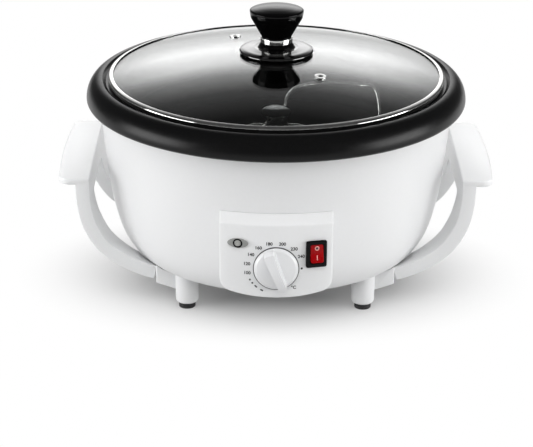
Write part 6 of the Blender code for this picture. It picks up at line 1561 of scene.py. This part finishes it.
def make_floor():
    """A round floor whose grey under the roaster is a painted shadow, eased into the white backdrop outside it."""
    shape = bmesh.new()
    shape.faces.new([shape.verts.new((x, y + AXIS_Y, 0)) for x, y in circle(FLOOR_RADIUS, 64)])
    floor = from_bmesh("floor", shape, smooth=False)
    material = make_finish("studio_floor", (PAINTED_SHADOW_TONE,) * 3, 0.5, sockets={"Specular IOR Level": 0.15})
    tree = material.node_tree
    shader = tree.nodes["Principled BSDF"]
    where = object_place(tree)
    noise = add_node(tree, "TexNoise", {"Vector": where, "Scale": 2, "Detail": 2}, "Fac")
    # Painted shadow: the seen floor is this grey, mottled a little
    stops = [(NOISE_LOW, (PAINTED_SHADOW_TONE - FLOOR_MOTTLE,) * 3), (NOISE_HIGH, (PAINTED_SHADOW_TONE + FLOOR_MOTTLE,) * 3)]
    seen = seen_ray(tree)
    tones = {"Factor": seen, "A": (FLOOR_BOUNCE,) * 3 + (1,), "B": ramp(tree, noise, stops)}
    fill(tree, shader, {"Base Color": add_node(tree, "Mix", tones, "Result", data_type="RGBA")})
    shape_of_painted_shadow = {0: where, 1: (PAINTED_SHADOW_SHAPE, 1, 1)}
    oval = add_node(tree, "VectorMath", shape_of_painted_shadow, "Vector", operation="MULTIPLY")
    reach = add_node(tree, "VectorMath", {0: oval}, "Value", operation="LENGTH")
    white = add_node(tree, "Emission", {}, "Emission")
    # Outside its oval the painted shadow gives way to plain white
    share = maths(tree, "MULTIPLY", eased(tree, reach, *PAINTED_SHADOW_FADE), seen)
    fill(tree, tree.nodes["Material Output"], {"Surface": mixed(tree, share, shader.outputs["BSDF"], white)})
    floor.data.materials.append(material)


def sky(tree, source, stops):
    """A background whose strength follows a source through stops of (place, strength)."""
    highest = max(level for _, level in stops)
    colours = [(place, (level / highest,) * 3) for place, level in stops]
    return add_node(tree, "Background", {"Color": ramp(tree, source, colours), "Strength": highest}, "Background")


def make_world():
    """White to the camera, a soft tent of light to matt surfaces, and a bright backdrop low behind to glossy ones."""
    world = bpy.data.worlds.new("studio")
    bpy.context.scene.world = world
    world.use_nodes = True
    tree = world.node_tree
    way = add_node(tree, "TexCoord", {}, "Generated")
    split = add_node(tree, "SeparateXYZ", {"Vector": way}, "X").node.outputs
    toward = add_node(tree, "VectorMath", {0: way, 1: TENT_TOWARD}, "Value", operation="DOT_PRODUCT")
    depth = add_node(tree, "MapRange", {"From Min": -1.0, "Value": toward}, "Result")
    aside = eased(tree, maths(tree, "ABSOLUTE", split["X"]), *BACKDROP_SIDE)
    behind = maths(tree, "MULTIPLY", eased(tree, split["Y"], *BACKDROP_DEPTH), aside)
    seen = mixed(tree, behind, sky(tree, split["Z"], FRONT_STOPS), sky(tree, split["Z"], BACKDROP_STOPS))
    other = mixed(tree, seen_ray(tree), sky(tree, depth, TENT_STOPS), seen)
    white = tree.nodes["Background"]
    fill(tree, white, {"Color": (1, 1, 1, 1), "Strength": 1.0})
    camera_ray = add_node(tree, "LightPath", {}, "Is Camera Ray")
    camera = mixed(tree, camera_ray, other, white.outputs["Background"])
    fill(tree, tree.nodes["World Output"], {"Surface": camera})


def make_lamps():
    for name, (spot, height, size, power) in SOFT_LAMPS.items():
        lamp = bpy.data.lights.new(name, "AREA")
        lamp.shape = "RECTANGLE"
        lamp.size, lamp.size_y = size
        lamp.energy = power
        made = linked(name, lamp)
        made.location = spot
        made.visible_glossy = made.visible_transmission = name in LAMPS_IN_REFLECTIONS
        aim = Vector((0, AXIS_Y, height)) - Vector(spot)
        made.rotation_euler = aim.to_track_quat("-Z", "Y").to_euler()


def make_camera():
    camera = bpy.data.cameras.new("camera")
    camera.lens = CAMERA_LENS
    camera.sensor_width = SENSOR_WIDTH
    level = cos(CAMERA_PITCH)
    forward = Vector((-sin(CAMERA_YAW) * level, cos(CAMERA_YAW) * level, -sin(CAMERA_PITCH)))
    right = Vector((cos(CAMERA_YAW), sin(CAMERA_YAW), 0))
    up = right.cross(forward)
    rolled_right = right * cos(CAMERA_ROLL) + up * sin(CAMERA_ROLL)
    rolled_up = up * cos(CAMERA_ROLL) - right * sin(CAMERA_ROLL)
    turn = Matrix((rolled_right, rolled_up, -forward)).transposed().to_4x4()
    made = linked("camera", camera)
    made.matrix_world = Matrix.Translation(CAMERA_PLACE) @ turn
    bpy.context.scene.camera = made


make_floor()
make_world()
make_lamps()
make_camera()
bpy.context.scene.view_settings.view_transform = "Standard"
